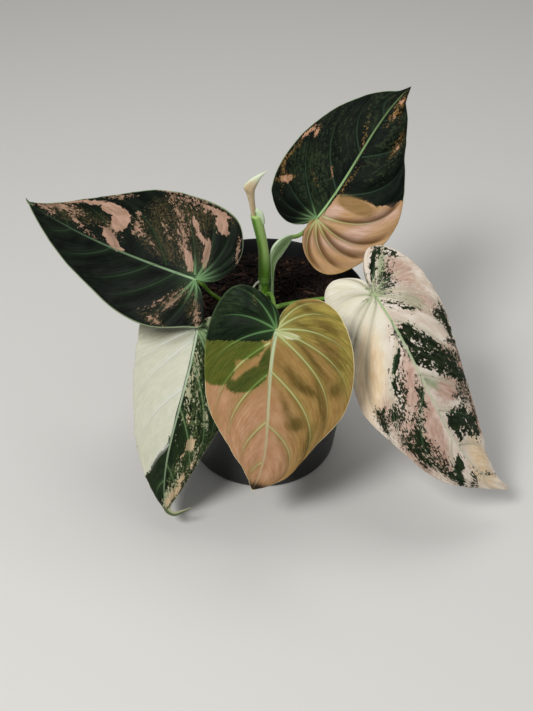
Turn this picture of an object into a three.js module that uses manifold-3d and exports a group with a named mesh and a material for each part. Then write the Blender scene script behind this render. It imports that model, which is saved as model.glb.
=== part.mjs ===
// A potted philodendron with five velvety heart-shaped leaves, marbled cream, salmon and near-black green.
// Millimetres, +Z up. The origin is the centre of the pot's flat underside. The viewer stands on the -Y side.

import * as THREE from 'three';
import { mergeVertices } from 'three/addons/utils/BufferGeometryUtils.js';
import Module from 'manifold-3d';

const wasm = await Module();
wasm.setup();

// Driving dimensions
const POT_HEIGHT = 110;
const POT_RIM_RADIUS = 60;
const POT_BASE_RADIUS = 45;
const POT_WALL = 1.4;
const RIM_BAND_HEIGHT = 9;
const RIM_BAND_STEP = 1.6;
const DRAIN_HOLES = 6;
const DRAIN_HOLE_RADIUS = 4;
const DRAIN_RING_RADIUS = 30;
const MIX_TOP = 101.5;
const MIX_RELIEF = 1.5;
const STEM_RADIUS = 3.1;
const STEM_FOOT = [1, -10, 80];
const STEM_NODE = [1.2, -10, 131];
const BLADE_THICKNESS = 0.8;
const PETIOLE_RADIUS = 1.25;
const GAP = 0.3;

// Mesh fineness
const POT_SIDES = 56;
const BLADE_STEPS_ALONG = 32;
const BLADE_STEPS_ACROSS = 4;
const TUBE_SIDES = 10;

// How a blade is built up
const VEINS_PER_HALF = 8;
const LOBE_BEND_LENGTH = 30;
const BLADE_HALF_WIDTH = 45;
const VEIN_LEAD = 8;
const VEIN_SWEEP = 1.6;
const VEIN_ARCH = 0.12;

// Leaves. junction and tip are the two ends of the midrib. lift and sway are how far its two inner control
// points stand off the straight line, upward and sideways. roll turns the blade about its midrib, fold
// hinges each half at the midrib (both in degrees, at the junction and at the tip), curl bends each half
// on towards its margin, and lobeBend bends the two back lobes down. Each half's outline runs from the
// junction round the lobe to the tip, as distances along and across the midrib.
const LEAVES = {
  left: {
    junction: [-33.9, -36.1, 147.2], tip: [-128, 17.8, 160.5], lift: [3.8, -3.8], sway: [9.4, 3.8],
    roll: [-42, -36], fold: { left: [7, 4], right: [4, 4] }, curl: { left: -17, right: -17 },
    lobeBend: 0, pleat: 0.9, colour: 0x2b4a35,
    outline: {
      left: [[-5.5, 7.5], [-11, 21], [-2, 25.5], [15, 31], [33, 29.5], [51, 23.5], [71, 17], [92, 8.5], [102, 4]],
      right: [[-9.5, 2], [-17, 12.5], [-17, 25.5], [-7.5, 38], [15, 41.5], [40, 38.5], [61, 28.5], [82, 16], [100, 5]],
    },
  },
  front_left: {
    junction: [-32.9, -50.8, 127.4], tip: [-54.6, -77, 14.6], lift: [12, 12], sway: [10, -3],
    roll: [-20, -18], fold: { left: [-15, -16], right: [-12, -12] }, curl: { left: -20, right: -22 },
    lobeBend: 30, pleat: 0.7, colour: 0xc9c9a8,
    outline: {
      left: [[-5, 2.5], [-8, 9], [-5, 16], [7, 21.5], [24, 23.5], [45, 24.5], [66, 20], [95, 12], [109, 6]],
      right: [[-9, 3], [-15, 13], [-11, 30], [1, 38], [22, 39], [43.5, 36], [65, 29.5], [86, 21.5], [107, 10]],
    },
  },
  front: {
    junction: [7.5, -68, 139.5], tip: [-5.5, -84, 40.5], lift: [12, 3], sway: [6, 13],
    roll: [-26, -30], fold: { left: [-6, -10], right: [-2, -4] }, curl: { left: -12, right: -10 },
    lobeBend: 15, pleat: 1.1, colour: 0x9c8454,
    outline: {
      left: [[-10, 2], [-20, 14], [-16, 28], [1, 38.5], [22, 42], [44, 39], [66, 25], [87, 15], [97, 7]],
      right: [[-9, 1], [-17, 15], [-14, 27.5], [4, 34.5], [30, 34.5], [52, 31], [73, 20], [88, 10]],
    },
  },
  right: {
    junction: [59, -32, 134.5], tip: [141, -68, 24], lift: [16, -4], sway: [-22, -32],
    roll: [32, 22], fold: { left: [-14, -12], right: [-24, -22] }, curl: { left: -16, right: -26 },
    lobeBend: 4, pleat: 1.3, colour: 0xbdb28f,
    outline: {
      left: [[-12, 3], [-24, 14], [-19, 28], [0, 37], [28, 40], [58, 35.5], [90, 29.5], [114, 19.5], [135, 5]],
      right: [[-11, 1], [-20, 14], [-13, 24], [11, 26], [37, 33], [56, 36], [80, 28], [110, 18], [134, 5]],
    },
  },
  back_right: {
    junction: [30, 10, 155], tip: [86, 85, 197], lift: [4, 6], sway: [-5, 4],
    roll: [-2, 25], fold: { left: [-8, 0], right: [-16, -10] }, curl: { left: -4, right: -22 },
    lobeBend: -8, pleat: 1.5, colour: 0x2d4934,
    outline: {
      left: [[-7, 5], [-9, 16], [-5, 29], [5, 41], [23, 43], [43, 39], [67, 27], [88, 11]],
      right: [[-11, 1], [-22, 12], [-20, 26], [-2, 35], [18, 38], [37, 33], [58, 23], [82, 12], [94, 3]],
    },
  },
};

// The thin drip tips that hook away from two of the blades
const TIP_TAILS = {
  front_left: [[-52.6, -76.4, 22.7], [-54.4, -77.4, 15.2], [-50, -79, 13.1], [-44, -79, 15.1], [-39.4, -78.4, 17.6]],
};

// Petioles, from inside what they spring from to just short of the blade; each then ends under the junction.
const PETIOLES = {
  left: [[1, -10, 112.5], [-8, -13.5, 113.8], [-17, -19, 118.5], [-27, -29.5, 134]],
  front_left: [[1, -10, 105], [-8, -20, 111.5], [-18, -33, 119.5], [-28, -43, 124.5]],
  front: [[1, -10, 116], [4, -20, 126], [5.5, -34, 134.5], [6.8, -52, 139.5]],
  right: [[1, -10, 107], [12, -11.5, 112], [27.5, -14.5, 118], [45, -21, 125], [53.5, -26.5, 130]],
  back_right: [[15.2, -0.2, 149.5], [20, 4.5, 147.5], [26, 8.6, 149.8]],
};
const PETIOLE_SEAT_DEPTH = PETIOLE_RADIUS + BLADE_THICKNESS / 2 + GAP;

// Helpers

const vec = (p) => new THREE.Vector3(p[0], p[1], p[2]);
const rad = THREE.MathUtils.degToRad;
const clamp01 = (x) => Math.min(1, Math.max(0, x));
const between = (ends, f) => ends[0] + (ends[1] - ends[0]) * f;

// A closed geometry from loose triangles: shared corners merged, flat triangles dropped.
function closedGeometry(positions, indices) {
  const raw = new THREE.BufferGeometry();
  raw.setAttribute('position', new THREE.Float32BufferAttribute(positions, 3));
  raw.setIndex(indices);
  return welded(raw);
}

function welded(geometry) {
  const bare = geometry.clone();
  bare.deleteAttribute('normal');
  bare.deleteAttribute('uv');
  const merged = mergeVertices(bare, 1e-4);
  const index = merged.index.array;
  const kept = [];
  for (let i = 0; i < index.length; i += 3) {
    const [a, b, c] = [index[i], index[i + 1], index[i + 2]];
    if (a !== b && b !== c && c !== a) kept.push(a, b, c);
  }
  merged.setIndex(kept);
  return merged;
}

function toSolid(geometry) {
  const ready = welded(geometry);
  return new wasm.Manifold(new wasm.Mesh({
    numProp: 3,
    vertProperties: new Float32Array(ready.attributes.position.array),
    triVerts: new Uint32Array(ready.index.array),
  }));
}

function toGeometry(solid) {
  const mesh = solid.getMesh();
  const geometry = new THREE.BufferGeometry();
  geometry.setAttribute('position', new THREE.BufferAttribute(new Float32Array(mesh.vertProperties), 3));
  geometry.setIndex(new THREE.BufferAttribute(new Uint32Array(mesh.triVerts), 1));
  geometry.computeVertexNormals();
  return geometry;
}

// A piece cut clear of its neighbours by a small gap on every side; loose scraps of the cut are dropped.
function clearOf(piece, ...neighbours) {
  let cut = piece;
  for (const neighbour of neighbours) {
    for (const axis of [0, 1, 2]) {
      for (const sign of [-1, 1]) {
        const shift = [0, 0, 0];
        shift[axis] = sign * GAP;
        cut = cut.subtract(neighbour.translate(shift));
      }
    }
  }
  return cut.decompose().reduce((best, next) => (next.volume() > best.volume() ? next : best));
}

function addPart(group, name, geometry, colour, roughness) {
  const material = new THREE.MeshStandardMaterial({ color: colour, roughness, metalness: 0 });
  const mesh = new THREE.Mesh(geometry, material);
  mesh.name = name;
  group.add(mesh);
}

// A closed tube along a smooth curve. section(f) gives its half width and half depth at the share f of the
// length, and facing is the direction that its depth is measured in.
function sweep(points, section, steps, sides = TUBE_SIDES, facing = [0, -1, 0]) {
  const curve = new THREE.CatmullRomCurve3(points.map(vec), false, 'centripetal');
  const positions = [];
  const indices = [];
  for (let i = 0; i <= steps; i += 1) {
    const f = i / steps;
    const centre = curve.getPointAt(f);
    const along = curve.getTangentAt(f);
    const across = new THREE.Vector3().crossVectors(vec(facing), along).normalize();
    const front = new THREE.Vector3().crossVectors(along, across);
    const [halfWidth, halfDepth] = section(f);
    for (let k = 0; k < sides; k += 1) {
      const angle = (2 * Math.PI * k) / sides;
      const p = centre.clone()
        .addScaledVector(across, halfWidth * Math.cos(angle))
        .addScaledVector(front, halfDepth * Math.sin(angle));
      positions.push(p.x, p.y, p.z);
    }
  }
  for (let i = 0; i < steps; i += 1) {
    for (let k = 0; k < sides; k += 1) {
      const a = i * sides + k;
      const b = i * sides + ((k + 1) % sides);
      indices.push(a, b, b + sides, a, b + sides, a + sides);
    }
  }
  for (let k = 1; k < sides - 1; k += 1) {
    const last = steps * sides;
    indices.push(0, k + 1, k);
    indices.push(last, last + k, last + k + 1);
  }
  return closedGeometry(positions, indices);
}

// The surface of one leaf, addressed by u along the midrib and v across it (v > 0 on the left half, seen
// from above with the tip ahead).
class LeafSurface {
  constructor(leaf) {
    this.leaf = leaf;
    const start = vec(leaf.junction);
    const end = vec(leaf.tip);
    const chord = end.clone().sub(start);
    const ahead = chord.clone().normalize();
    this.level = new THREE.Vector3(0, 0, 1).cross(ahead).normalize();
    const up = ahead.clone().cross(this.level);
    const control = (share, k) => start.clone().addScaledVector(chord, share)
      .addScaledVector(up, leaf.lift[k])
      .addScaledVector(this.level, leaf.sway[k]);
    this.midrib = new THREE.CubicBezierCurve3(start, control(1 / 3, 0), control(2 / 3, 1), end);
    this.length = this.midrib.getLength();
  }

  // The midrib's point and its three directions at u; for u < 0 the line bends down as the lobes do.
  frame(u) {
    const f = clamp01(u / this.length);
    const point = this.midrib.getPointAt(f);
    const along = this.midrib.getTangentAt(f);
    const side = this.level.clone().addScaledVector(along, -this.level.dot(along)).normalize();
    const up = along.clone().cross(side);
    if (u < 0) {
      const bend = Math.max(1e-6, Math.abs(rad(this.leaf.lobeBend)) / LOBE_BEND_LENGTH);
      const sign = this.leaf.lobeBend < 0 ? -1 : 1;
      const angle = bend * -u;
      point.addScaledVector(along, -Math.sin(angle) / bend);
      point.addScaledVector(up, (-sign * (1 - Math.cos(angle))) / bend);
      along.multiplyScalar(Math.cos(angle)).addScaledVector(up, sign * Math.sin(angle));
      up.copy(along.clone().cross(side));
    }
    const roll = rad(between(this.leaf.roll, f));
    const turnedSide = side.clone().multiplyScalar(Math.cos(roll)).addScaledVector(up, Math.sin(roll));
    const turnedUp = up.clone().multiplyScalar(Math.cos(roll)).addScaledVector(side, -Math.sin(roll));
    return { point, side: turnedSide, up: turnedUp, f };
  }

  // The point and the upward normal at (u, v), raised by height along that normal.
  at(u, v, height) {
    const { point, side, up, f } = this.frame(u);
    const half = v >= 0 ? 'left' : 'right';
    const outward = side.clone().multiplyScalar(v >= 0 ? 1 : -1);
    const distance = Math.abs(v);
    const fold = rad(between(this.leaf.fold[half], f));
    const curl = rad(this.leaf.curl[half]) / BLADE_HALF_WIDTH;
    const angle = fold + curl * distance;
    const across = (Math.sin(angle) - Math.sin(fold)) / curl;
    const rise = (Math.cos(fold) - Math.cos(angle)) / curl;
    const tilt = distance < 1e-6 ? 0 : angle;
    const normal = up.clone().multiplyScalar(Math.cos(tilt)).addScaledVector(outward, -Math.sin(tilt));
    return point.addScaledVector(outward, across).addScaledVector(up, rise).addScaledVector(normal, height);
  }

  // Points spaced evenly along one half's margin, a smooth curve from the junction to the tip.
  edge(half) {
    const inner = this.leaf.outline[half].map(([u, v]) => new THREE.Vector2(u, v));
    const margin = new THREE.SplineCurve([new THREE.Vector2(0, 0), ...inner, new THREE.Vector2(this.length, 0)]);
    return margin.getSpacedPoints(BLADE_STEPS_ALONG);
  }
}

// Where the vein that ends at a margin point leaves the midrib.
function veinRoot(u, length) {
  return length * clamp01((u + VEIN_LEAD) / (length + VEIN_LEAD)) ** VEIN_SWEEP;
}

// The places on the midrib that the rows of both halves start from: the junction for all the lobes' rows,
// then on towards the tip.
function rowRoots(edges, length) {
  const rearOf = (edge) => edge.reduce((best, p, i) => (p.x < edge[best].x ? i : best), 0);
  const rear = Math.max(rearOf(edges.left), rearOf(edges.right));
  const meanU = (i) => (edges.left[i].x + edges.right[i].x) / 2;
  const roots = edges.left.map((_, i) => (i <= rear ? 0 : veinRoot(meanU(i), length)));
  return { roots, rear };
}

// Rows of (u, v, height) along one half of the blade. Each row runs from the midrib out along a vein's line
// to the margin, and the blade swells up between the veins.
function halfGrid(surface, half, edge, { roots, rear }) {
  return edge.map((end, i) => {
    const root = roots[i];
    const arch = VEIN_ARCH * clamp01(i / (rear + 3));
    const bendU = (root + end.x) / 2 - arch * end.y;
    const bendV = end.y / 2 + arch * (end.x - root);
    const swell = 0.5 - 0.5 * Math.cos((2 * Math.PI * VEINS_PER_HALF * i) / BLADE_STEPS_ALONG);
    const row = [];
    for (let j = 0; j <= BLADE_STEPS_ACROSS; j += 1) {
      const q = j / BLADE_STEPS_ACROSS;
      const u = (1 - q) ** 2 * root + 2 * q * (1 - q) * bendU + q ** 2 * end.x;
      const v = 2 * q * (1 - q) * bendV + q ** 2 * end.y;
      row.push([u, half === 'left' ? v : -v, surface.leaf.pleat * swell * 4 * q * (1 - q)]);
    }
    return row;
  });
}

// The blade as a thin closed sheet, split into triangles alike on both faces.
function bladeGeometry(surface) {
  const positions = [];
  const indices = [];
  const edges = { left: surface.edge('left'), right: surface.edge('right') };
  const rows = rowRoots(edges, surface.length);
  for (const half of ['left', 'right']) {
    const grid = halfGrid(surface, half, edges[half], rows);
    const base = positions.length / 3;
    for (const face of [0.5, -0.5]) {
      for (const [u, v, height] of grid.flat()) {
        positions.push(...surface.at(u, v, height + face * BLADE_THICKNESS).toArray());
      }
    }
    const rowSize = BLADE_STEPS_ACROSS + 1;
    const faceSize = grid.length * rowSize;
    const quad = (a, b, c, d) => {
      if (half === 'left') indices.push(a, b, c, a, c, d);
      else indices.push(a, c, b, a, d, c);
    };
    for (let i = 0; i < BLADE_STEPS_ALONG; i += 1) {
      for (let j = 0; j < BLADE_STEPS_ACROSS; j += 1) {
        const a = base + i * rowSize + j;
        quad(a, a + rowSize, a + rowSize + 1, a + 1);
        const b = a + faceSize;
        if (half === 'left') indices.push(b, b + rowSize + 1, b + rowSize, b, b + 1, b + rowSize + 1);
        else indices.push(b, b + rowSize, b + rowSize + 1, b, b + rowSize + 1, b + 1);
      }
      const rim = base + i * rowSize + BLADE_STEPS_ACROSS;
      quad(rim, rim + rowSize, rim + rowSize + faceSize, rim + faceSize);
    }
  }
  return closedGeometry(positions, indices);
}

// Sub-parts

// A thin plastic nursery pot: tapered wall, a stepped band under the rim and drain holes in its floor.
function potGeometry() {
  const bandFoot = POT_HEIGHT - RIM_BAND_HEIGHT;
  const wallTop = POT_RIM_RADIUS - RIM_BAND_STEP - 0.8;
  const profile = [
    [0, 0], [POT_BASE_RADIUS - 1.5, 0], [POT_BASE_RADIUS, 1.5], [wallTop, bandFoot],
    [POT_RIM_RADIUS - 0.5, bandFoot + 0.6], [POT_RIM_RADIUS, POT_HEIGHT - 1], [POT_RIM_RADIUS - 0.8, POT_HEIGHT],
    [POT_RIM_RADIUS - POT_WALL, POT_HEIGHT - 0.4], [wallTop - POT_WALL + 0.4, bandFoot],
    [POT_BASE_RADIUS - POT_WALL, POT_WALL + 1.5], [POT_BASE_RADIUS - POT_WALL - 1.5, POT_WALL], [0, POT_WALL],
  ];
  const turned = new THREE.LatheGeometry(profile.map(([r, z]) => new THREE.Vector2(r, z)), POT_SIDES);
  turned.rotateX(Math.PI / 2);
  let pot = toSolid(turned);
  for (let k = 0; k < DRAIN_HOLES; k += 1) {
    const angle = (2 * Math.PI * k) / DRAIN_HOLES;
    const hole = new THREE.CylinderGeometry(DRAIN_HOLE_RADIUS, DRAIN_HOLE_RADIUS, 4 * POT_WALL, 16);
    hole.rotateX(Math.PI / 2);
    hole.translate(DRAIN_RING_RADIUS * Math.cos(angle), DRAIN_RING_RADIUS * Math.sin(angle), 0);
    pot = pot.subtract(toSolid(hole));
  }
  return toGeometry(pot);
}

// How far the crumbly top of the potting mix stands above its mean level at (x, y).
function mixRelief(x, y) {
  const coarse = Math.sin(0.23 * x + 0.9) * Math.cos(0.19 * y - 0.4);
  const fine = Math.sin(0.61 * x - 0.35 * y) * Math.cos(0.53 * y + 0.28 * x + 1.1);
  return MIX_RELIEF * (0.6 * coarse + 0.4 * fine);
}

// The potting mix fills the pot, with one plain hole for the foot of the stem.
function mixGeometry() {
  const bandFoot = POT_HEIGHT - RIM_BAND_HEIGHT;
  const inner = POT_WALL + GAP;
  const wallTop = POT_RIM_RADIUS - RIM_BAND_STEP - 0.8;
  const radiusAt = (z) => POT_BASE_RADIUS + ((wallTop - POT_BASE_RADIUS) * (z - 1.5)) / (bandFoot - 1.5);
  const edgeLevel = MIX_TOP - 3;
  const edgeRadius = radiusAt(edgeLevel) - inner - 0.3;
  const profile = [
    [0, POT_WALL + GAP], [POT_BASE_RADIUS - inner - 2, POT_WALL + GAP],
    [radiusAt(6) - inner - 0.5, 6], [edgeRadius, edgeLevel],
  ];
  const rings = 9;
  for (let k = 0; k <= rings; k += 1) profile.push([(edgeRadius - 1.5) * (1 - k / rings), MIX_TOP]);
  const turned = new THREE.LatheGeometry(profile.map(([r, z]) => new THREE.Vector2(r, z)), POT_SIDES);
  turned.rotateX(Math.PI / 2);
  const place = turned.attributes.position;
  for (let i = 0; i < place.count; i += 1) {
    if (place.getZ(i) > MIX_TOP - 0.1) place.setZ(i, MIX_TOP + mixRelief(place.getX(i), place.getY(i)));
  }
  const hole = sweep([[STEM_FOOT[0], STEM_FOOT[1], STEM_FOOT[2] - GAP], STEM_NODE],
    () => [STEM_RADIUS + GAP, STEM_RADIUS + GAP], 1, 16);
  return toGeometry(toSolid(turned).subtract(toSolid(hole)));
}

// The main stem up to its top node, where it widens a little.
function stemGeometry() {
  const width = (f) => STEM_RADIUS + 0.35 * Math.exp(-(((f - 0.97) / 0.03) ** 2));
  const middle = STEM_FOOT.map((c, i) => (c + STEM_NODE[i]) / 2);
  return sweep([STEM_FOOT, middle, STEM_NODE], (f) => [width(f), width(f)], 12, 14);
}

// The stalk above the node, whose sheath wraps the newest leaf.
function stalkGeometry() {
  const route = [[1.3, -10, 131.3], [1.5, -9.6, 141], [0.6, -9, 150], [-1.2, -8.4, 160], [-2.8, -8, 167.5]];
  const width = (f) => 3.25 - 0.5 * f + 0.25 * Math.exp(-(((f - 1) / 0.12) ** 2));
  return sweep(route, (f) => [width(f), width(f)], 12, 14);
}

// The newest leaf, still rolled: a narrow neck that flares into a spout with one pointed corner.
function newLeafGeometry() {
  const route = [[-3.4, -8, 167.9], [-4.6, -8, 173], [-5.6, -8, 179.5], [-5.4, -8, 184.6], [-3.4, -8, 188.4],
    [0.2, -8, 191.8], [3.6, -8, 194.8]];
  const section = (f) => {
    const flare = 1.5 + 1.9 * Math.exp(-(((f - 0.62) / 0.2) ** 2));
    const taper = f < 0.6 ? 1 : Math.max(0.1, 1 - ((f - 0.6) / 0.42) ** 1.2);
    return [flare * taper, 0.8 * flare * taper];
  };
  return sweep(route, section, 18, 12);
}

// The torn pale lip of the stalk's sheath, standing up as a small hood on its right.
function sheathLipGeometry(stalk, newLeaf) {
  const route = [[1.1, -8.4, 160.5], [1.5, -8.2, 165.5], [0.5, -8, 169.5], [-0.9, -7.8, 172.2]];
  const section = (f) => [0.5 + 2.1 * Math.sin(Math.PI * (0.12 + 0.7 * f)), 2 - 0.9 * f];
  return toGeometry(clearOf(toSolid(sweep(route, section, 8, 12)), toSolid(stalk), toSolid(newLeaf)));
}

// The winged sheath that leaves the stem on its right and carries the back petiole.
function wingedSheathGeometry(stem, stalk) {
  const route = [[6.1, -10, 104.5], [6.2, -10, 120], [6.3, -9.2, 131], [8.2, -6.8, 139], [11.6, -3.4, 145.2],
    [15, -0.4, 149.3]];
  const section = (f) => [1.35 + 2 * Math.exp(-(((f - 0.83) / 0.14) ** 2)), 1.1];
  return toGeometry(clearOf(toSolid(sweep(route, section, 18, 12)), toSolid(stem), toSolid(stalk)));
}

// A short cut aerial root on the stem's left.
function aerialRootGeometry(stem) {
  const route = [[-1, -12, 128.4], [-4.4, -14.5, 126.6], [-6.2, -16, 124]];
  const root = sweep(route, (f) => [0.75 - 0.1 * f, 0.75 - 0.1 * f], 5, 8);
  return toGeometry(clearOf(toSolid(root), toSolid(stem)));
}

// The blade of one leaf, with the hooked drip tip where it has one.
function leafBlade(name, surface) {
  const blade = bladeGeometry(surface);
  const tail = TIP_TAILS[name];
  if (!tail) return blade;
  const hook = sweep(tail, (f) => [1.4 - f, 0.6 - 0.2 * f], 10, 8);
  return toGeometry(toSolid(blade).add(toSolid(hook)));
}

// A petiole that ends under the blade's junction, trimmed clear of what it springs from.
function petioleGeometry(route, surface, ...neighbours) {
  const width = (f) => PETIOLE_RADIUS * (1.25 - 0.35 * f);
  const seat = surface.at(0, 0, -PETIOLE_SEAT_DEPTH).toArray();
  const petiole = toSolid(sweep([...route, seat], (f) => [width(f), width(f)], 14));
  return toGeometry(clearOf(petiole, ...neighbours.map(toSolid)));
}

// The whole plant

const stem = stemGeometry();
const stalk = stalkGeometry();
const newLeaf = newLeafGeometry();
const wingedSheath = wingedSheathGeometry(stem, stalk);

const plant = new THREE.Group();
addPart(plant, 'pot', potGeometry(), 0x141414, 0.5);
addPart(plant, 'potting_mix', mixGeometry(), 0x35211a, 0.95);
addPart(plant, 'main_stem', stem, 0x4c7d1e, 0.45);
addPart(plant, 'aerial_root', aerialRootGeometry(stem), 0xcdc6a4, 0.7);
addPart(plant, 'shoot_stalk', stalk, 0x6f9a45, 0.45);
addPart(plant, 'shoot_sheath_lip', sheathLipGeometry(stalk, newLeaf), 0xb5cf9d, 0.5);
addPart(plant, 'new_leaf', newLeaf, 0xd9c9a0, 0.5);
addPart(plant, 'winged_sheath', wingedSheath, 0xa3ba8e, 0.5);

for (const [name, leaf] of Object.entries(LEAVES)) {
  const surface = new LeafSurface(leaf);
  const petiole = petioleGeometry(PETIOLES[name], surface, stem, wingedSheath);
  addPart(plant, `petiole_${name}`, petiole, 0x5f9130, 0.45);
  addPart(plant, `blade_${name}`, leafBlade(name, surface), leaf.colour, 0.55);
}

export default plant;
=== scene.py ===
"""Looks for a potted philodendron with variegated leaves: five blades, their petioles, a stem with a young
shoot, and a black pot of potting mix. Lengths are in millimetres until a mesh is made."""

import math

import bpy
import numpy as np
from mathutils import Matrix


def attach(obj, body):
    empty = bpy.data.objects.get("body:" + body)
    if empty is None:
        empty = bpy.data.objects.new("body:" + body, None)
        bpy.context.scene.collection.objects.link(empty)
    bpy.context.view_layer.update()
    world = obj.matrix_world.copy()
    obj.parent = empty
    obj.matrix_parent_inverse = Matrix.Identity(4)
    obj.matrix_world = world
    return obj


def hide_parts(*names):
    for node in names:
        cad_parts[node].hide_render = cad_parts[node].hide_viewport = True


MM = 0.001
BODY = "root"
TURN = 2 * math.pi
SPLINE_STEPS = 60

# Pot and mix. POT_PROFILE is the pot's section as radius and height, from the middle of its underside out
# and up to the rim, then down the inside to the middle of its floor. MIX_WALL is the mix's below its top.
DRAIN_HOLES = 6
DRAIN_HOLE_RADIUS = 4
DRAIN_HOLE_SIDES = 32
DRAIN_CUT = (-3, 5)
DRAIN_RING_RADIUS = 30
POT_SIDES = 180
POT_STEP = 4
POT_SHARP_ANGLE = 35
POT_PROFILE = [
    (0, 0.9), (28, 0.9), (38, 0.6), (42.5, 0), (44.4, 0.35), (45, 1.3), (45.4, 4), (48, 25), (51.1, 50),
    (54.4, 76), (57.4, 99.8), (57.7, 100.9), (58.2, 101.3), (59, 101.5), (59.4, 102.2), (59.7, 105),
    (60, 108.4), (59.9, 109.4), (59.3, 109.9), (58.8, 109.8), (58.5, 109.2), (57.9, 106), (56.6, 101),
    (53.4, 76), (50.2, 51), (47, 26), (43.7, 3), (43.1, 1.9), (42.1, 1.5), (28, 1.45), (0, 1.4),
]
MIX_TOP = 101.5
MIX_RADIUS = 55.9
MIX_RINGS = 96
MIX_SIDES = 240
MIX_WALL = [(MIX_RADIUS, MIX_TOP - 4), (50.3, 60), (43.2, 3.6), (0, 3.6)]

# Litter on the mix: how many pieces of each kind, and the least and most length, width and depth.
LITTER = {
    "bark": (420, (3, 9), (1.2, 3.2), (0.7, 1.8)),
    "strip": (620, (5, 15), (0.5, 1.2), (0.25, 0.6)),
    "fibre": (260, (9, 24), (0.22, 0.4), (0.2, 0.36)),
}

# Blades
BLADE_THICKNESS = 0.6
MARGIN_THICKNESS = 0.34
LOBE_BEND_LENGTH = 30
BLADE_HALF_WIDTH = 45
LOBE_ROWS = 110
FORWARD_ROWS = 200
COLUMNS = 34
MARGIN_STEPS = 600
MIDRIB_STEPS = 400
ROOT_SPREAD = 2.3
ROW_SKEW = 0.56
COMB_SPACING = 2.1

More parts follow.
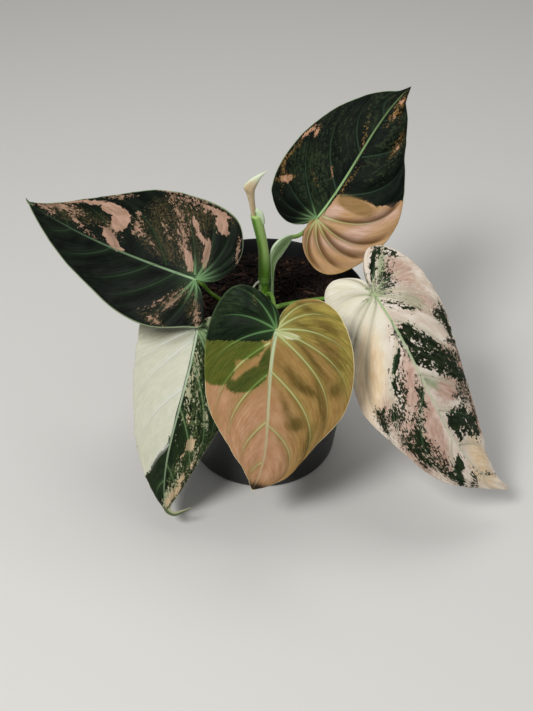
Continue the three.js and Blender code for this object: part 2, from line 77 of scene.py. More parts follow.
# Leaves. junction and tip are the two ends of the midrib. lift and sway are how far its two inner control
# points stand off the straight line, upward and sideways. roll turns the blade about its midrib, fold
# hinges each half at the midrib (both in degrees, at the junction and at the tip), curl bends each half
# on towards its margin, and lobe_bend bends the two back lobes down. In each half, outline runs from the
# junction round the lobe to the tip, as distances along and across the midrib. veins are the shares of
# the margin where the main veins end, those before fan being rooted at the junction; reach says how
# slowly the later roots move up the midrib, and arch how far the veins bow.
LEAVES = {
    "left": {
        "junction": (-33.9, -36.1, 147.2), "tip": (-128, 17.8, 160.5), "lift": (3.8, -3.8),
        "sway": (9.4, 3.8), "roll": (-42, -36), "lobe_bend": 0,
        "left": {
            "fold": (7, 4), "curl": -17, "pleat": 0.7, "fan": 0.36, "reach": 1.9, "arch": 0.17,
            "veins": (0.12, 0.21, 0.3, 0.4, 0.55, 0.65, 0.78, 0.89),
            "outline": ((-5.5, 7.5), (-11, 21), (-2, 25.5), (15, 31), (33, 29.5), (51, 23.5), (71, 17),
                        (92, 8.5), (102, 4)),
        },
        "right": {
            "fold": (4, 4), "curl": -17, "pleat": 0.8, "fan": 0.43, "reach": 2.9, "arch": 0.29,
            "veins": (0.11, 0.17, 0.23, 0.3, 0.38, 0.53, 0.72, 0.85, 0.94),
            "outline": ((-9.5, 2), (-17, 12.5), (-17, 25.5), (-7.5, 38), (15, 41.5), (40, 38.5), (61, 28.5),
                        (82, 16), (100, 5)),
        },
    },
    "front_left": {
        "junction": (-32.9, -50.8, 127.4), "tip": (-54.6, -77, 14.6), "lift": (12, 12), "sway": (10, -3),
        "roll": (-20, -18), "lobe_bend": 30,
        "left": {
            "fold": (-15, -16), "curl": -20, "pleat": 0.5, "fan": 0.6, "reach": 2.3, "arch": 0.22,
            "veins": (0.14, 0.27, 0.4, 0.53, 0.66, 0.77, 0.86, 0.94),
            "outline": ((-5, 2.5), (-8, 9), (-5, 16), (7, 21.5), (24, 23.5), (45, 24.5), (66, 20), (95, 12),
                        (109, 6)),
        },
        "right": {
            "fold": (-12, -12), "curl": -22, "pleat": 0.45, "fan": 0.51, "reach": 2.2, "arch": 0.16,
            "veins": (0.12, 0.24, 0.37, 0.5, 0.63, 0.78, 0.89, 0.95),
            "outline": ((-9, 3), (-15, 13), (-11, 30), (1, 38), (22, 39), (43.5, 36), (65, 29.5),
                        (86, 21.5), (107, 10)),
        },
    },
    "front": {
        "junction": (7.5, -68, 139.5), "tip": (-5.5, -84, 40.5), "lift": (12, 3), "sway": (6, 13),
        "roll": (-26, -30), "lobe_bend": 15,
        "left": {
            "fold": (-6, -10), "curl": -12, "pleat": 1.5, "fan": 0.62, "reach": 2.9, "arch": 0.38,
            "veins": (0.13, 0.2, 0.27, 0.41, 0.56, 0.71, 0.84, 0.92),
            "outline": ((-10, 2), (-20, 14), (-16, 28), (1, 38.5), (22, 42), (44, 39), (66, 25), (87, 15),
                        (97, 7)),
        },
        "right": {
            "fold": (-2, -4), "curl": -10, "pleat": 1.1, "fan": 0.51, "reach": 2.6, "arch": 0.26,
            "veins": (0.12, 0.22, 0.34, 0.51, 0.67, 0.78, 0.88, 0.95),
            "outline": ((-9, 1), (-17, 15), (-14, 27.5), (4, 34.5), (30, 34.5), (52, 31), (73, 20),
                        (88, 10)),
        },
    },
    "right": {
        "junction": (59, -32, 134.5), "tip": (141, -68, 24), "lift": (16, -4), "sway": (-22, -32),
        "roll": (32, 22), "lobe_bend": 4,
        "left": {
            "fold": (-14, -12), "curl": -16, "pleat": 1.3, "fan": 0.5, "reach": 1.4, "arch": 0.25,
            "veins": (0.1, 0.19, 0.29, 0.4, 0.51, 0.6, 0.72, 0.79, 0.86, 0.94),
            "outline": ((-12, 3), (-24, 14), (-19, 28), (0, 37), (28, 40), (58, 35.5), (90, 29.5),
                        (114, 19.5), (135, 5)),
        },
        "right": {
            "fold": (-24, -22), "curl": -26, "pleat": 1.2, "fan": 0.52, "reach": 2.3, "arch": 0.27,
            "veins": (0.12, 0.22, 0.33, 0.46, 0.61, 0.74, 0.83, 0.9, 0.96),
            "outline": ((-11, 1), (-20, 14), (-13, 24), (11, 26), (37, 33), (56, 36), (80, 28), (110, 18),
                        (134, 5)),
        },
    },
    "back_right": {
        "junction": (30, 10, 155), "tip": (86, 85, 197), "lift": (4, 6), "sway": (-5, 4),
        "roll": (-2, 25), "lobe_bend": -8,
        "left": {
            "fold": (-8, 0), "curl": -4, "pleat": 0.7, "fan": 0.64, "reach": 1.8, "arch": 0.27,
            "veins": (0.12, 0.23, 0.34, 0.46, 0.64, 0.78, 0.87, 0.94),
            "outline": ((-7, 5), (-9, 16), (-5, 29), (5, 41), (23, 43), (43, 39), (67, 27), (86, 12.5),
                        (96, 2.6)),
        },
        "right": {
            "fold": (-16, -10), "curl": -22, "pleat": 2.6, "fan": 0.42, "reach": 2.9, "arch": 0.42,
            "veins": (0.11, 0.2, 0.28, 0.36, 0.45, 0.58, 0.73, 0.85, 0.93),
            "outline": ((-11, 1), (-22, 12), (-20, 26), (-2, 35), (18, 38), (37, 33), (58, 23), (82, 12),
                        (94, 3)),
        },
    },
}

# Thin ends of two blades: the route of each, and its half width at the start.
TAILS = {
    "left": (((-124.5, 15.6, 160.4), (-127, 17, 160.4), (-128.3, 17.8, 161.6), (-128.8, 18.2, 163)), 1.3),
    "front_left": (((-52.4, -76.2, 23), (-53.6, -77.4, 17), (-50, -79, 15.2), (-44.5, -79, 17.6),
                    (-39.4, -78.4, 20.2)), 2.3),
}

# Looks of each blade. ground has two tones. line and glow are the colours of the main veins and beside
# them, and shine says how strongly the line shows. hub is the colour round the junction. midrib has its
# colours at the junction and the tip, its half width, and a power that is lower where the first colour
# gives way sooner. margin is the colour of the thin edge and rim its strength. under tints the underside.
# PLAIN_LOOK holds what a blade may leave out: how much of the veins, of the painted shade in the grooves
# beside them and of the fine side veins (comb) shows.
PLAIN_LOOK = dict(veil=1, painted_groove_shade=0.3, comb=1)
LOOKS = {
    "left": dict(
        ground=("#070b07", "#131a12"), line="#4f6b49", glow="#1c2b1a", shine=0.18, hub="#83ab74",
        midrib=("#a4c496", "#23321f", 0.46, 0.4), margin="#8c9a76", rim=0.8, under="#4a5640",
    ),
    "front_left": dict(
        ground=("#0f190d", "#202d18"), line="#86a670", glow="#324b2a", shine=0.5, hub="#a3b98c",
        midrib=("#c3d2b4", "#7f9a70", 0.45, 1), margin="#b9b595", rim=0.7, under="#5f6b48",
    ),
    "front": dict(
        ground=("#90703f", "#a88456"), line="#bcc488", glow="#948b46", shine=0.8, hub="#b3bd7c",
        midrib=("#b4c79e", "#c3ac84", 0.8, 1), margin="#e3d6a6", rim=1, under="#8f8a58", comb=0.8,
    ),
    "right": dict(
        ground=("#d0beac", "#e2d6c8"), line="#b5ab94", glow="#cdc6ae", shine=0.35, hub="#9fb37f",
        midrib=("#8fae72", "#dbd5c3", 0.6, 0.7), margin="#d8d0bd", rim=0.5, under="#b3ad92", painted_groove_shade=0.12,
        comb=0.5,
    ),
    "back_right": dict(
        ground=("#080d09", "#141b13"), line="#58765a", glow="#131e13", shine=0.21, hub="#7b9d66",
        midrib=("#9dbf82", "#677f50", 0.5, 1), margin="#a3b092", rim=1, under="#4a5640",
    ),
}

# Marks, laid over the ground in order. Each has two colours, size (of its flecks, in mm), grain (how much
# it breaks up), stretch (how far it streaks along the veins), soft (the width of its edge) and blots:
# places along and across the midrib (across is positive on the left half), half length, half width, turn
# in degrees, and strength. side keeps a mark to the left half (1) or the right half (-1). A mark may also
# change veil, the painted groove shade, comb, line, glow, shine, hub and margin where it lies; veil goes
# back to 1 where it doesn't say. OLIVE is what the marks of the front blade's olive part share, and
# TAN_LOBE is what those of the back right blade's tan lobe share, with its painted groove shade at full
# strength.
OLIVE = dict(grain=1.3, soft=1.2, side=-1, line="#7b9148", glow="#566a2c", margin="#6f7438", hub="#7f9c52")
TAN_LOBE = dict(side=-1, line="#bfb478", glow="#876c40", shine=0.62, margin="#b0925c", painted_groove_shade=1, comb=0.2)
MARKS = {
    "left": [
        # Olive-brown freckling
        dict(colours=("#1d2615", "#50432d"), size=1, grain=2.4, stretch=1.6, soft=0.5, veil=0.8, blots=[
            (16, -20, 24, 13, -38, 0), (30, -12, 17, 6, -22, 0), (6, -32, 16, 7, 15, 0.1),
            (34, -26, 10, 8, -30, -0.5), (84, -7, 20, 5, 6, 0), (-4, 15, 10, 4, -65, 0),
            (8, 15, 10, 4, 58, -0.1), (13, 27, 8, 3, -10, -0.1), (58, -11, 10, 3, -10, 0),
        ]),
        # Pink flecks
        dict(colours=("#7a624e", "#9d7f6b"), size=1.5, grain=2.4, stretch=1.8, soft=0.25, veil=0.5, blots=[
            (12, -15, 12, 2.4, -55, 0.1), (17, -27, 10, 3, -50, -0.3), (25, -20, 9, 2.4, -40, -0.4),
            (26, -33, 7, 2.4, -40, -0.3), (33, -12, 7, 1.6, -30, -0.3), (40, -14, 4.4, 2.4, -30, 0.5),
            (43, -20, 5, 1.6, -10, -0.2), (7, -36, 8, 1.6, 5, -0.1), (21, -38, 8, 1.6, 5, 0),
            (-16, -20, 6, 1.3, -80, 0.5), (78, -5, 12, 1.2, -12, 0.7), (82, -9, 8, 1.6, 6, 0.2),
            (92, -7, 8, 1.8, 20, 0.4), (98, -2.5, 6, 1.4, -6, 0.5), (60, -27, 7, 1.4, 20, 0.2),
            (-6, 16, 8, 1.5, -65, 0.5), (-9, 21, 4, 1.4, -30, 0.4), (7, 15, 6, 1.5, 58, 1),
            (5, 9, 4, 1, 60, 0.3), (12, 27, 5, 1.3, -15, 0.6), (14, 18, 4, 1, 52, 0.1),
            (24, -40, 18, 0.8, 2, 0.1), (54, -9, 6, 2, -20, 0.4),
        ]),
        # Solid pink patches
        dict(colours=("#90725e", "#ae8d7a"), size=2.6, grain=1.5, stretch=1.8, soft=0.2, veil=0.35, blots=[
            (52, -15.5, 6, 6.5, 20, 6), (61, -19, 7, 3.4, 4, 4), (73, -18, 8, 1.3, 16, 2),
            (86, -13, 8, 1, 26, 1.2), (52, -4, 9, 2.6, -28, 4), (46, -1.2, 4, 1.1, -10, 2),
            (6.5, -8, 6.5, 2.2, -57, 3), (-1, -14, 8, 1.9, -82, 3), (4, -21, 4, 1.5, -30, 1.4),
            (-3, -32, 6, 3.4, -60, 3), (-6, -28, 3.4, 1.4, 10, 1.6), (10, -27, 5, 1.6, -48, 1.6),
            (7, -38, 6, 1.2, -3, 1.4), (-2, -36.5, 4, 1.6, -10, 1.2), (44, -22.5, 2.4, 1.2, 0, 1),
        ]),
    ],
    "front_left": [
        # Olive mottling on the dark half
        dict(colours=("#2d3b20", "#5d6844"), size=1.4, grain=2.6, stretch=3, soft=0.4, veil=0.9, blots=[
            (36, 7, 30, 4, 10, 0), (84, 8, 26, 5, -12, -0.1), (62, 20, 20, 4, -14, -0.5),
            (90, -8, 18, 4, -18, -0.9),
        ]),
        # Pale green flecks
        dict(colours=("#8f9474", "#bcb796"), size=1.6, grain=2.6, stretch=3, soft=0.25, veil=0.5, blots=[
            (17, 2.6, 7, 0.9, 10, 1.2), (35, 3, 6, 1.3, 8, 1.6), (46, 9.5, 7, 0.8, 14, -0.4),
            (57, 9.5, 7, 0.8, 6, -0.4), (26, 6, 8, 0.8, 12, -0.2), (48, 15.5, 5, 0.8, 12, 0.5),
            (41, 13, 4, 0.8, 12, 0.3), (76, 9, 8, 0.8, -12, -0.5), (73, 14.5, 5, 0.8, -8, 0.3),
            (100, 5, 9, 2, -16, 0.1), (110, 1.6, 8, 2.6, -14, 1), (86, 6, 8, 1, -6, -0.3),
            (-2, 8, 7, 3, 30, 1.2), (78, 17.5, 14, 0.8, -16, 0.2), (36, 2, 12, 0.7, 2, 0.4),
        ]),
        # Tan flecks
        dict(colours=("#b7a07f", "#cdb693"), size=1.7, grain=2, stretch=1.6, soft=0.25, veil=0.4, blots=[
            (66, 10.5, 4.4, 2.6, 4, 4), (41, 19, 5.5, 1.4, 14, 1.8), (14, 10, 7, 1, 12, 0.8),
            (92, 9, 6, 1.4, -18, 0.9), (103, 6.5, 7, 1.6, -24, 1.1), (50, 6, 3, 0.8, 0, 0.8),
            (108, 3, 7, 1.6, -20, 1.1), (80, 13.8, 4, 0.8, -10, 0.8), (74, 8, 5, 0.8, -20, 0.6),
        ]),
        # The cream half
        dict(colours=("#c6c8b1", "#d2d0bd"), size=3, grain=0.35, stretch=2.4, soft=0.12, side=-1, veil=0.9,
             line="#e6e7de", glow="#d6d8ca", margin="#c9c6ae", painted_groove_shade=0.12, comb=0.12, blots=[
            (30, -24, 52, 25.5, -3, 20), (6, -16, 30, 17.5, 0, 16), (62, -14, 26, 14.5, -2, 16),
            (84, -13.5, 20, 7.5, -17, 12),
        ]),
        # Its shaded lobe
        dict(colours=("#858370", "#959380"), size=3, grain=0.5, stretch=2, soft=5, side=-1, veil=0.7,
             margin="#a9a488", blots=[(1, -20, 12, 34, 20, 6)]),
        # The dark strip that crosses the midrib near the tip
        dict(colours=("#121d0f", "#222f1a"), size=1.8, grain=2, stretch=2, soft=0.06, side=-1, veil=0.9,
             blots=[(88, -3.5, 20, 5.5, -17, 6), (70, -0.8, 10, 1.6, -8, 2.4), (104, -7, 14, 8, -28, 6)]),
    ],
    "front": [
        # Gold on the left half
        dict(colours=("#93703f", "#a2854f"), size=2, grain=1.6, stretch=4, soft=3,
             blots=[(40, 20, 40, 20, 0, 3)]),
        # Olive gold on its lobe
        dict(colours=("#7f7434", "#a8964e"), size=2.4, grain=2, stretch=4, soft=3,
             blots=[(-8, 20, 12, 22, 10, 4), (8, 36, 26, 5, 6, 3), (-2, 6, 10, 8, 60, 4)]),
        # Pinkish bronze towards the tip
        dict(colours=("#ae805d", "#be9473"), size=2.4, grain=1.4, stretch=4, soft=5,
             blots=[(66, -10, 36, 20, -14, 5), (78, 4, 20, 10, -10, 4), (40, -26, 14, 8, 0, 3)]),
        # Brown between the veins: partly the blade's own smudges, partly painted shade beside the veins
        dict(colours=("#59491f", "#6f5b30"), size=2.6, grain=0.9, stretch=4.5, soft=2.6, blots=[
            (29, 17, 9, 3, 62, 2.4), (22, 11, 9, 2.4, 50, 1), (29, 33, 5, 3.4, -20, 2),
            (50, 14, 4.5, 5, 60, 2.2), (44, 10, 9, 2, 20, 0.6), (-4, 14, 12, 1.4, 74, 1.4),
            (5, 27, 14, 2, 52, 1.4), (-7, 24, 9, 2.6, 74, 1.4), (12, 30, 9, 2.8, 42, 1.4),
            (13, 20, 16, 1.8, 42, 1.4), (36, 26, 14, 1.8, 12, 1.2), (-14, 12, 7, 1.8, 70, 1.4),
            (3, 10, 8, 1.8, 66, 1.4), (20, 24, 12, 1.6, 36, 1), (60, 22, 12, 2, -14, 0.8),
        ]),
        # Pale crescent beside the junction
        dict(colours=("#dadfb4", "#e8ebcd"), size=6, grain=0.3, stretch=2, soft=1, painted_groove_shade=0,
             blots=[(1.6, 5.8, 6.4, 1.9, 88, 2.6)]),
        # Dark tip
        dict(colours=("#19120b", "#332518"), size=2, grain=0.8, stretch=1.5, soft=4,
             blots=[(105, 2, 10, 11, 0, 6)]),
        # The olive part of the right half
        dict(OLIVE, colours=("#46521d", "#5f6127"), size=2.2, stretch=2,
             blots=[(17, -27, 17, 9, 4, 9), (11, -16, 7, 12, 10, 8), (26, -30, 8, 8, 10, 6)]),
        # Its darker end beside the midrib
        dict(OLIVE, colours=("#3c471c", "#525626"), size=1.8, stretch=2.4,
             blots=[(27, -9.5, 11, 5.2, -48, 6), (17, -2.5, 10, 3.4, -14, 5), (32, -18, 3.5, 5, 0, 3)]),
        # The near-black lobe
        dict(colours=("#0a120a", "#1a2616"), size=2.4, grain=1.5, stretch=2, soft=0.3, side=-1,
             line="#5c8150", glow="#22341e", margin="#3b4a30", hub="#5f8a48",
             blots=[(-60, -29, 70, 200, 10, 60)]),
        # Mottling on that lobe
        dict(colours=("#1a2917", "#2c3a22"), size=2, grain=2.2, stretch=2.6, soft=2, side=-1, veil=0.9,
             blots=[(-10, -27, 9, 7, 40, 0.1), (-14, -14, 8, 4, 20, -0.4), (0, -33, 9, 5, 0, -0.3)]),
        # Tan flecks on that lobe
        dict(colours=("#6b5f30", "#8a7a45"), size=1.3, grain=2.6, stretch=2.4, soft=0.4, side=-1, veil=0.7,
             blots=[(-11, -14, 4, 0.9, 30, -0.5)]),
    ],
    "right": [
        # The cream lobe
        dict(colours=("#dcd5bd", "#e6e1d0"), size=3, grain=0.8, stretch=3, soft=3, side=-1,
             blots=[(0, -13, 22, 20, 0, 5), (24, -20, 26, 12, -20, 4)]),
        # Pink clouds
        dict(colours=("#ae8c7b", "#c9ac9c"), size=2.2, grain=1.4, stretch=3, soft=1.6, blots=[
            (66, 14, 12, 8, 52, 3.4), (62, 33, 14, 4, -8, 2.4), (96, 24, 18, 3.6, -20, 2.6),
            (78, -8, 32, 7, -8, 3), (50, -7, 18, 5, -18, 1.6), (84, -20, 22, 7, -4, 1.4),
            (48, 25, 10, 7, 50, 1), (12, 24, 14, 8, 30, 0.6), (-6, 22, 10, 9, 40, 1.6),
            (60, -24, 10, 6, -10, 0.8), (74, 24, 8, 5, 20, 2),
        ]),
        # Peach near the tip and the right margin
        dict(colours=("#dabc94", "#e8d2b0"), size=2.6, grain=1, stretch=3, soft=3,
             blots=[(114, 6, 16, 7, -20, 2), (126, 0, 12, 4, 0, 2), (36, -23, 26, 8, -24, 3)]),
        # Grey-green clouds
        dict(colours=("#838f6b", "#a0a587"), size=2.4, grain=1.4, stretch=3, soft=2.4,
             blots=[(56, 4.5, 7, 3, 40, 2), (-11, 13, 13, 2.2, -44, 2.4), (12, 18, 8, 4, 50, 0.8)]),
        # Dark flecks
        dict(colours=("#171f14", "#3a3d2c"), size=1.7, grain=2.8, stretch=1.8, soft=0.3, veil=0.6,
             line="#6a8a62", glow="#22331f", blots=[
            (27, 33, 7, 4, 40, 1.4), (36, 36, 8, 2.6, -4, 1.4), (44, 33, 6, 2.6, 60, 0.8),
            (-8, 12, 10, 2, -62, 0.2), (24, 37, 6, 2, 0, 1), (50, 26, 14, 5, 52, 0.7),
            (72, 27, 9, 5, 10, 0.6), (78, 22, 8, 4, 20, 0.7), (86, 27, 14, 2.2, -14, 0.6),
            (73, 16, 4, 1.6, 40, 0.8), (54, -13, 14, 2.8, -24, 0.7), (58, -4.5, 9, 1.8, -14, 0.9),
            (63, -21, 6, 5, -30, 0.8), (63, -28, 8, 2.6, 0, 0.9), (74, -13, 7, 2.4, -40, 0.6),
            (78, -20, 8, 6, 0, 0.5), (-5, 13, 5, 3, -60, 0.5), (66, -10, 6, 2.6, -70, 0.4),
            (8, 6, 6, 1.2, 60, 0.4), (122, -6, 8, 2.4, -30, 0.4), (94, -12, 16, 3.4, 4, 0.4),
            (0, 12, 5, 1.2, 90, 0.6), (128, 2, 6, 1, 20, 0.4), (-16, 24, 5, 2.4, 50, 0.5),
            (47, 20, 14, 3, 50, 0.5), (60, 20, 8, 2, 56, 0.5),
        ]),
        # Dark patches
        dict(colours=("#0f180d", "#2a3521"), size=2.5, grain=3.2, stretch=2, soft=0.25, veil=0.8,
             line="#6a8a62", glow="#22331f", margin="#5c6649", blots=[
            (27, 6, 10, 6, 52, 2.4), (36, 15, 11, 4, 42, 2), (45, 20, 9, 3, 30, 1.6),
            (41, 8, 14, 5.5, 50, 1.6), (51, 17, 9, 5, 40, 1.7), (54, 25, 9, 3.6, 64, 1.4),
            (30, 35, 8, 2.2, 20, 1.8), (42, 35.5, 12, 1.6, -6, 1.5), (44, 14, 22, 9, 40, 0.5),
            (62, 26, 10, 5, 30, 2.4), (-14, 10, 12, 1.8, -44, 2.6), (-20, 19, 5, 2.4, -60, 1.8),
            (-17, 27, 4, 1.4, 40, 1), (-2, 6.5, 3.6, 1, -80, 0.8), (68, 31, 7, 3, 10, 2),
            (84, 9, 9, 6.5, 50, 2.2), (93, 15, 14, 8, 14, 1.9), (99, 20, 9, 4.5, -10, 1.6),
            (87, 5, 10, 3, 0, 2.6), (33, 3, 8, 3, 0, 2), (37, -8, 9, 1.8, -42, 2.6),
            (47, -13.5, 6, 1.6, -20, 1.4), (82, -15, 11, 4, -8, 1.4), (88, -20, 11, 3.4, 6, 1.6),
            (107, -6.5, 6, 2.8, -34, 3.4), (115, -10.5, 7, 2.2, -26, 2.8), (58, -26, 3.4, 1.5, -60, 2),
            (64, -22, 4.4, 1.3, -20, 1.6), (66, -29, 6, 1.2, 0, 2), (102, 17, 8, 3.6, -12, 2),
            (111, -12, 10, 1.9, 14, 1.6), (102, -15, 14, 1.8, 12, 1), (14.5, 13, 6, 1.3, 62, 1.7),
            (16, 16.4, 2.2, 0.9, 0, 1.2), (-17, 13, 9, 1.3, -46, 1.6), (-5, 14.5, 3.5, 1, -60, 1.2),
            (-0.6, 7, 3.6, 0.8, 90, 0.6), (3, 8, 3, 1, 70, 0.9), (60, -4, 5, 1, -14, 1.2),
        ]),
    ],
    "back_right": [
        # Olive mottling
        dict(colours=("#1b2518", "#2c3622"), size=1.6, grain=2.4, stretch=4, soft=0.6, veil=0.9, blots=[
            (22, 20, 26, 12, 45, 0.1), (50, 18, 28, 14, 20, -0.4), (60, -12, 30, 10, 0, -0.2),
            (78, 6, 20, 8, 10, -0.2),
        ]),
        # Painted shade on the left lobe, where it folds down: the darkest part of the blade
        dict(colours=("#050805", "#0a0f08"), size=3, grain=0.6, stretch=2, soft=4, veil=0.6,
             blots=[(-4, 20, 9, 20, 10, 5)]),
        # Brown flecks
        dict(colours=("#63502a", "#916d40"), size=1.2, grain=2.8, stretch=2, soft=0.3, veil=0.6, blots=[
            (16, 35, 6, 2, -60, 0.1), (22, 39, 10, 1.2, 20, -0.1), (22, 17, 12, 2, 45, -1.1),
            (59, 3.6, 7, 0.9, 16, -0.1), (60, -15, 7, 1.6, 0, -0.2), (85, -3.4, 8, 1.8, 10, 0),
            (75, -3.5, 8, 1.4, 0, -0.5), (26, -2.5, 9, 1, 0, -0.1), (36, 38, 10, 0.9, -16, -0.1),
            (68, -15, 6, 1.4, 10, -0.3), (80, -8, 6, 1.2, 20, -0.6),
        ]),
        # Tan patches
        dict(colours=("#a0785a", "#b3896d"), size=1.6, grain=2, stretch=2.4, soft=0.3, veil=0.5, blots=[
            (16, 34, 4.4, 3, -60, 1.3), (48, 34.5, 5, 1, -30, 2), (50, 29.5, 3.2, 1.2, 4, 2),
            (69, 26.5, 3, 0.8, -36, 1.6), (29, 9, 4.5, 0.6, 40, 1.6), (62, -16, 2.6, 1, 0, 1.2),
            (89, -2.4, 2.6, 1, 10, 1.2), (78, -4.5, 1.6, 1, 0, 1),
        ]),
        # The tan lobe
        dict(TAN_LOBE, colours=("#ac8659", "#b7926f"), size=2.6, grain=0.9, stretch=1.4, soft=0.25, blots=[
            (-8, -19, 30.5, 24, 0, 20), (8, -31, 19.5, 12, 0, 16), (-14, -14, 18, 18, 0, 16),
            (24, -35.5, 11, 4.2, 12, 8), (14, -1.5, 4, 3, 0, 3),
        ]),
        # Pink on the tan lobe: own colour, plus painted highlight on the raised plates and by the junction
        dict(TAN_LOBE, colours=("#b58f7a", "#c9a995"), size=3, grain=0.5, stretch=4, soft=4,
             line="#cbc59c", glow="#967a54", blots=[
            (8, -5, 7, 3.4, -20, 6), (4, -22, 12, 4.5, -20, 4), (-6, -18, 14, 3, -62, 2.4),
            (18, -27.5, 14, 2.6, -34, 4),
        ]),
        # Its shadow next to the dark part
        dict(TAN_LOBE, colours=("#84693f", "#93734c"), size=2, grain=0.9, stretch=3, soft=2,
             blots=[(17, -13, 4.6, 11, 6, 5)]),
    ],
}

# What the fine side veins, the hollows between them and the painted shade in the groove past each main
# vein multiply the blade's colour by, and how far that painted groove shade, the glow, the hub's colour and
# the margin reach, in mm.
SIDE_VEIN_TINT = [1.12, 1.12, 1.05, 1]
SIDE_HOLLOW_TINT = [0.94, 0.93, 0.92, 1]
PAINTED_GROOVE_SHADE_TINT = [0.36, 0.3, 0.24, 1]
PAINTED_GROOVE_SHADE_REACH = 4.2
GLOW_REACH = 3.0
HUB_REACH = 15
MARGIN_WIDTH = 1.05

# Petioles, each from inside what it springs from to short of its blade. The rest of its way, into the
# midrib, follows from the blade.
PETIOLES = {
    "left": ((1, -10, 112.5), (-8, -13.5, 113.8), (-17, -19, 118.5), (-27, -29.5, 134)),
    "front_left": ((1, -10, 105), (-8, -20, 111.5), (-18, -33, 119.5), (-28, -43, 124.5)),
    "front": ((1, -10, 116), (4, -20, 126), (5.5, -34, 134.5), (6.8, -52, 139.5)),
    "right": ((1, -10, 107), (12, -11.5, 112), (27.5, -14.5, 118), (45, -21, 125), (53.5, -26.5, 130)),
    "back_right": ((15.2, -0.2, 149.5), (20, 4.5, 147.5), (26, 8.6, 149.8)),
}
PETIOLE_RADIUS = 1.1
PETIOLE_STEPS = 120
PETIOLE_SIDES = 28

# Stem and shoot. Each pair of edges runs up the two sides of one body.
STEM_RADIUS = 3.05
STEM_STEPS = 160
STEM_SIDES = 48
SHOOT_STEPS = 120
SHOOT_SIDES = 44
STEM_ROUTE = ((1, -10, 80), (1.05, -10, 105), (1.2, -10, 131))
ROOT_RADIUS = 0.64
ROOT_ROUTE = ((-0.5, -11, 128.6), (-2.4, -12.2, 128.2), (-4.1, -13.5, 126.8), (-5.8, -14.8, 124.5))
STALK_EDGES = (
    ((-2.1, -9.7, 130.4), (-2.1, -9.6, 135), (-2.0, -9.4, 147.2), (-2.8, -9, 153.6), (-4.1, -8.7, 159.5),
     (-5.4, -8.3, 165.6), (-5.9, -8.1, 168.3)),
    ((4.4, -9.7, 130.4), (4.5, -9.6, 135), (4.1, -9.4, 142.5), (3.1, -9, 151.3), (2.0, -8.7, 158),
     (0.6, -8.3, 164.6), (-0.4, -8.1, 168.1)),
)
HOOD_EDGES = (
    ((-1.6, -8.6, 160.5), (-1.9, -8.5, 164.5), (-2.7, -8.4, 168.6), (-3.5, -8.2, 171.1), (-2.9, -8, 172.5)),
    ((-0.6, -8.6, 160.5), (1.5, -8.5, 163.4), (1.6, -8.3, 166.3), (0.4, -8.1, 170.2), (-2.5, -8, 172.6)),
)
YOUNG_LEAF_EDGES = (
    ((-5.4, -8, 168.2), (-6.1, -8, 172), (-7.1, -8, 177.5), (-8.4, -8, 182.3), (-9.7, -8, 185.5),
     (-6.9, -8, 188.8), (-2.9, -8, 191.7), (0.5, -8, 193.4), (3.6, -8, 195)),
    ((-3.1, -8, 168.2), (-3.1, -8, 172), (-3.6, -8, 178.5), (-3.4, -8, 183.3), (-2.4, -8, 186),
     (-0.9, -8, 189.2), (0.3, -8, 191.2), (1.8, -8, 193), (3.7, -8, 194.9)),
)
SHEATH_EDGES = (
    ((4.6, -9.6, 104.5), (4.7, -9.6, 118), (4.7, -9.4, 128), (4.5, -9, 136.8), (4.1, -8.2, 142.7),
     (5.4, -7, 147.6), (8.2, -5.2, 150.6), (11.6, -3.3, 152.1), (14.6, -1.6, 152), (15.6, -1, 151.4)),
    ((6.6, -9.6, 104.5), (6.6, -9.6, 118), (6.5, -9.4, 128), (6.9, -9, 134.6), (8, -8, 138.4),
     (10.2, -6.3, 141), (12.6, -4.4, 143.8), (14.6, -2.9, 146.5), (16, -1.7, 148.6), (16.6, -1, 150)),
)

# Green parts: two tones, the colour of the streaks, how close these lie across and along, and the colour
# of the pale places. DARK_TINT is the colour of the dark ones. On the shoot's stalk the pale places are a
# painted highlight and the dark ones painted shade.
GREENS = {
    "petiole": (("#4a7620", "#658c2e"), "#86a84a", (9, 0.04), "#a3c06c"),
    "main_stem": (("#2f5a10", "#5b8826"), "#86aa45", (8, 0.04), "#a5ba84"),
    "shoot_stalk": (("#4f7a1c", "#668f33"), "#90b257", (10, 0.04), "#a6c576"),
    "shoot_sheath_lip": (("#b9d0a4", "#cfdfbd"), "#dfe9d0", (5, 0.08), "#dfe9d0"),
    "new_leaf": (("#b59f78", "#ccb692"), "#e2dac0", (12, 0.05), "#d6e2c4"),
    "winged_sheath": (("#5a7641", "#86a26c"), "#ccd9bc", (14, 0.03), "#c9d7b9"),
    "aerial_root": (("#c9cdb0", "#d8d9c4"), "#b0a884", (4, 0.4), "#b0a884"),
}
DARK_TINT = "#3f4a24"

# Stage, in metres. Each light has its place, its size and its power.
FLOOR_REACH = 3
LIGHTS = {
    "key": ((-0.5, -0.75, 1.15), 0.35, 13.5),
    "top": ((0.15, 0.3, 1.3), 0.7, 4.5),
    "fill": ((0.95, -0.35, 0.7), 0.9, 1.0),
}
LIGHT_TARGET = (0, 0, 0.12)
WORLD_COLOUR = "#e4e6e8"
WORLD_STRENGTH = 0.3
CAMERA_PLACE = (0.0025, -0.4499, 0.4435)
CAMERA_TILT = 50
CAMERA_LENS = 50
CAMERA_SENSOR_HEIGHT = 36


# Helpers for shapes

def smooth(x, low=0.0, high=1.0):
    t = np.clip((x - low) / (high - low), 0, 1)
    return t * t * (3 - 2 * t)


def hump(x, centre, width):
    return np.exp(-(((x - centre) / width) ** 2))


def unit(v):
    return v / np.linalg.norm(v, axis=-1, keepdims=True)


def turns(count):
    return np.linspace(0, TURN, count, endpoint=False)


def run_length(points):
    return np.linalg.norm(np.diff(points, axis=0), axis=1).sum()


def run_so_far(points):
    return np.concatenate([[0], np.cumsum(np.linalg.norm(np.diff(points, axis=0), axis=1))])


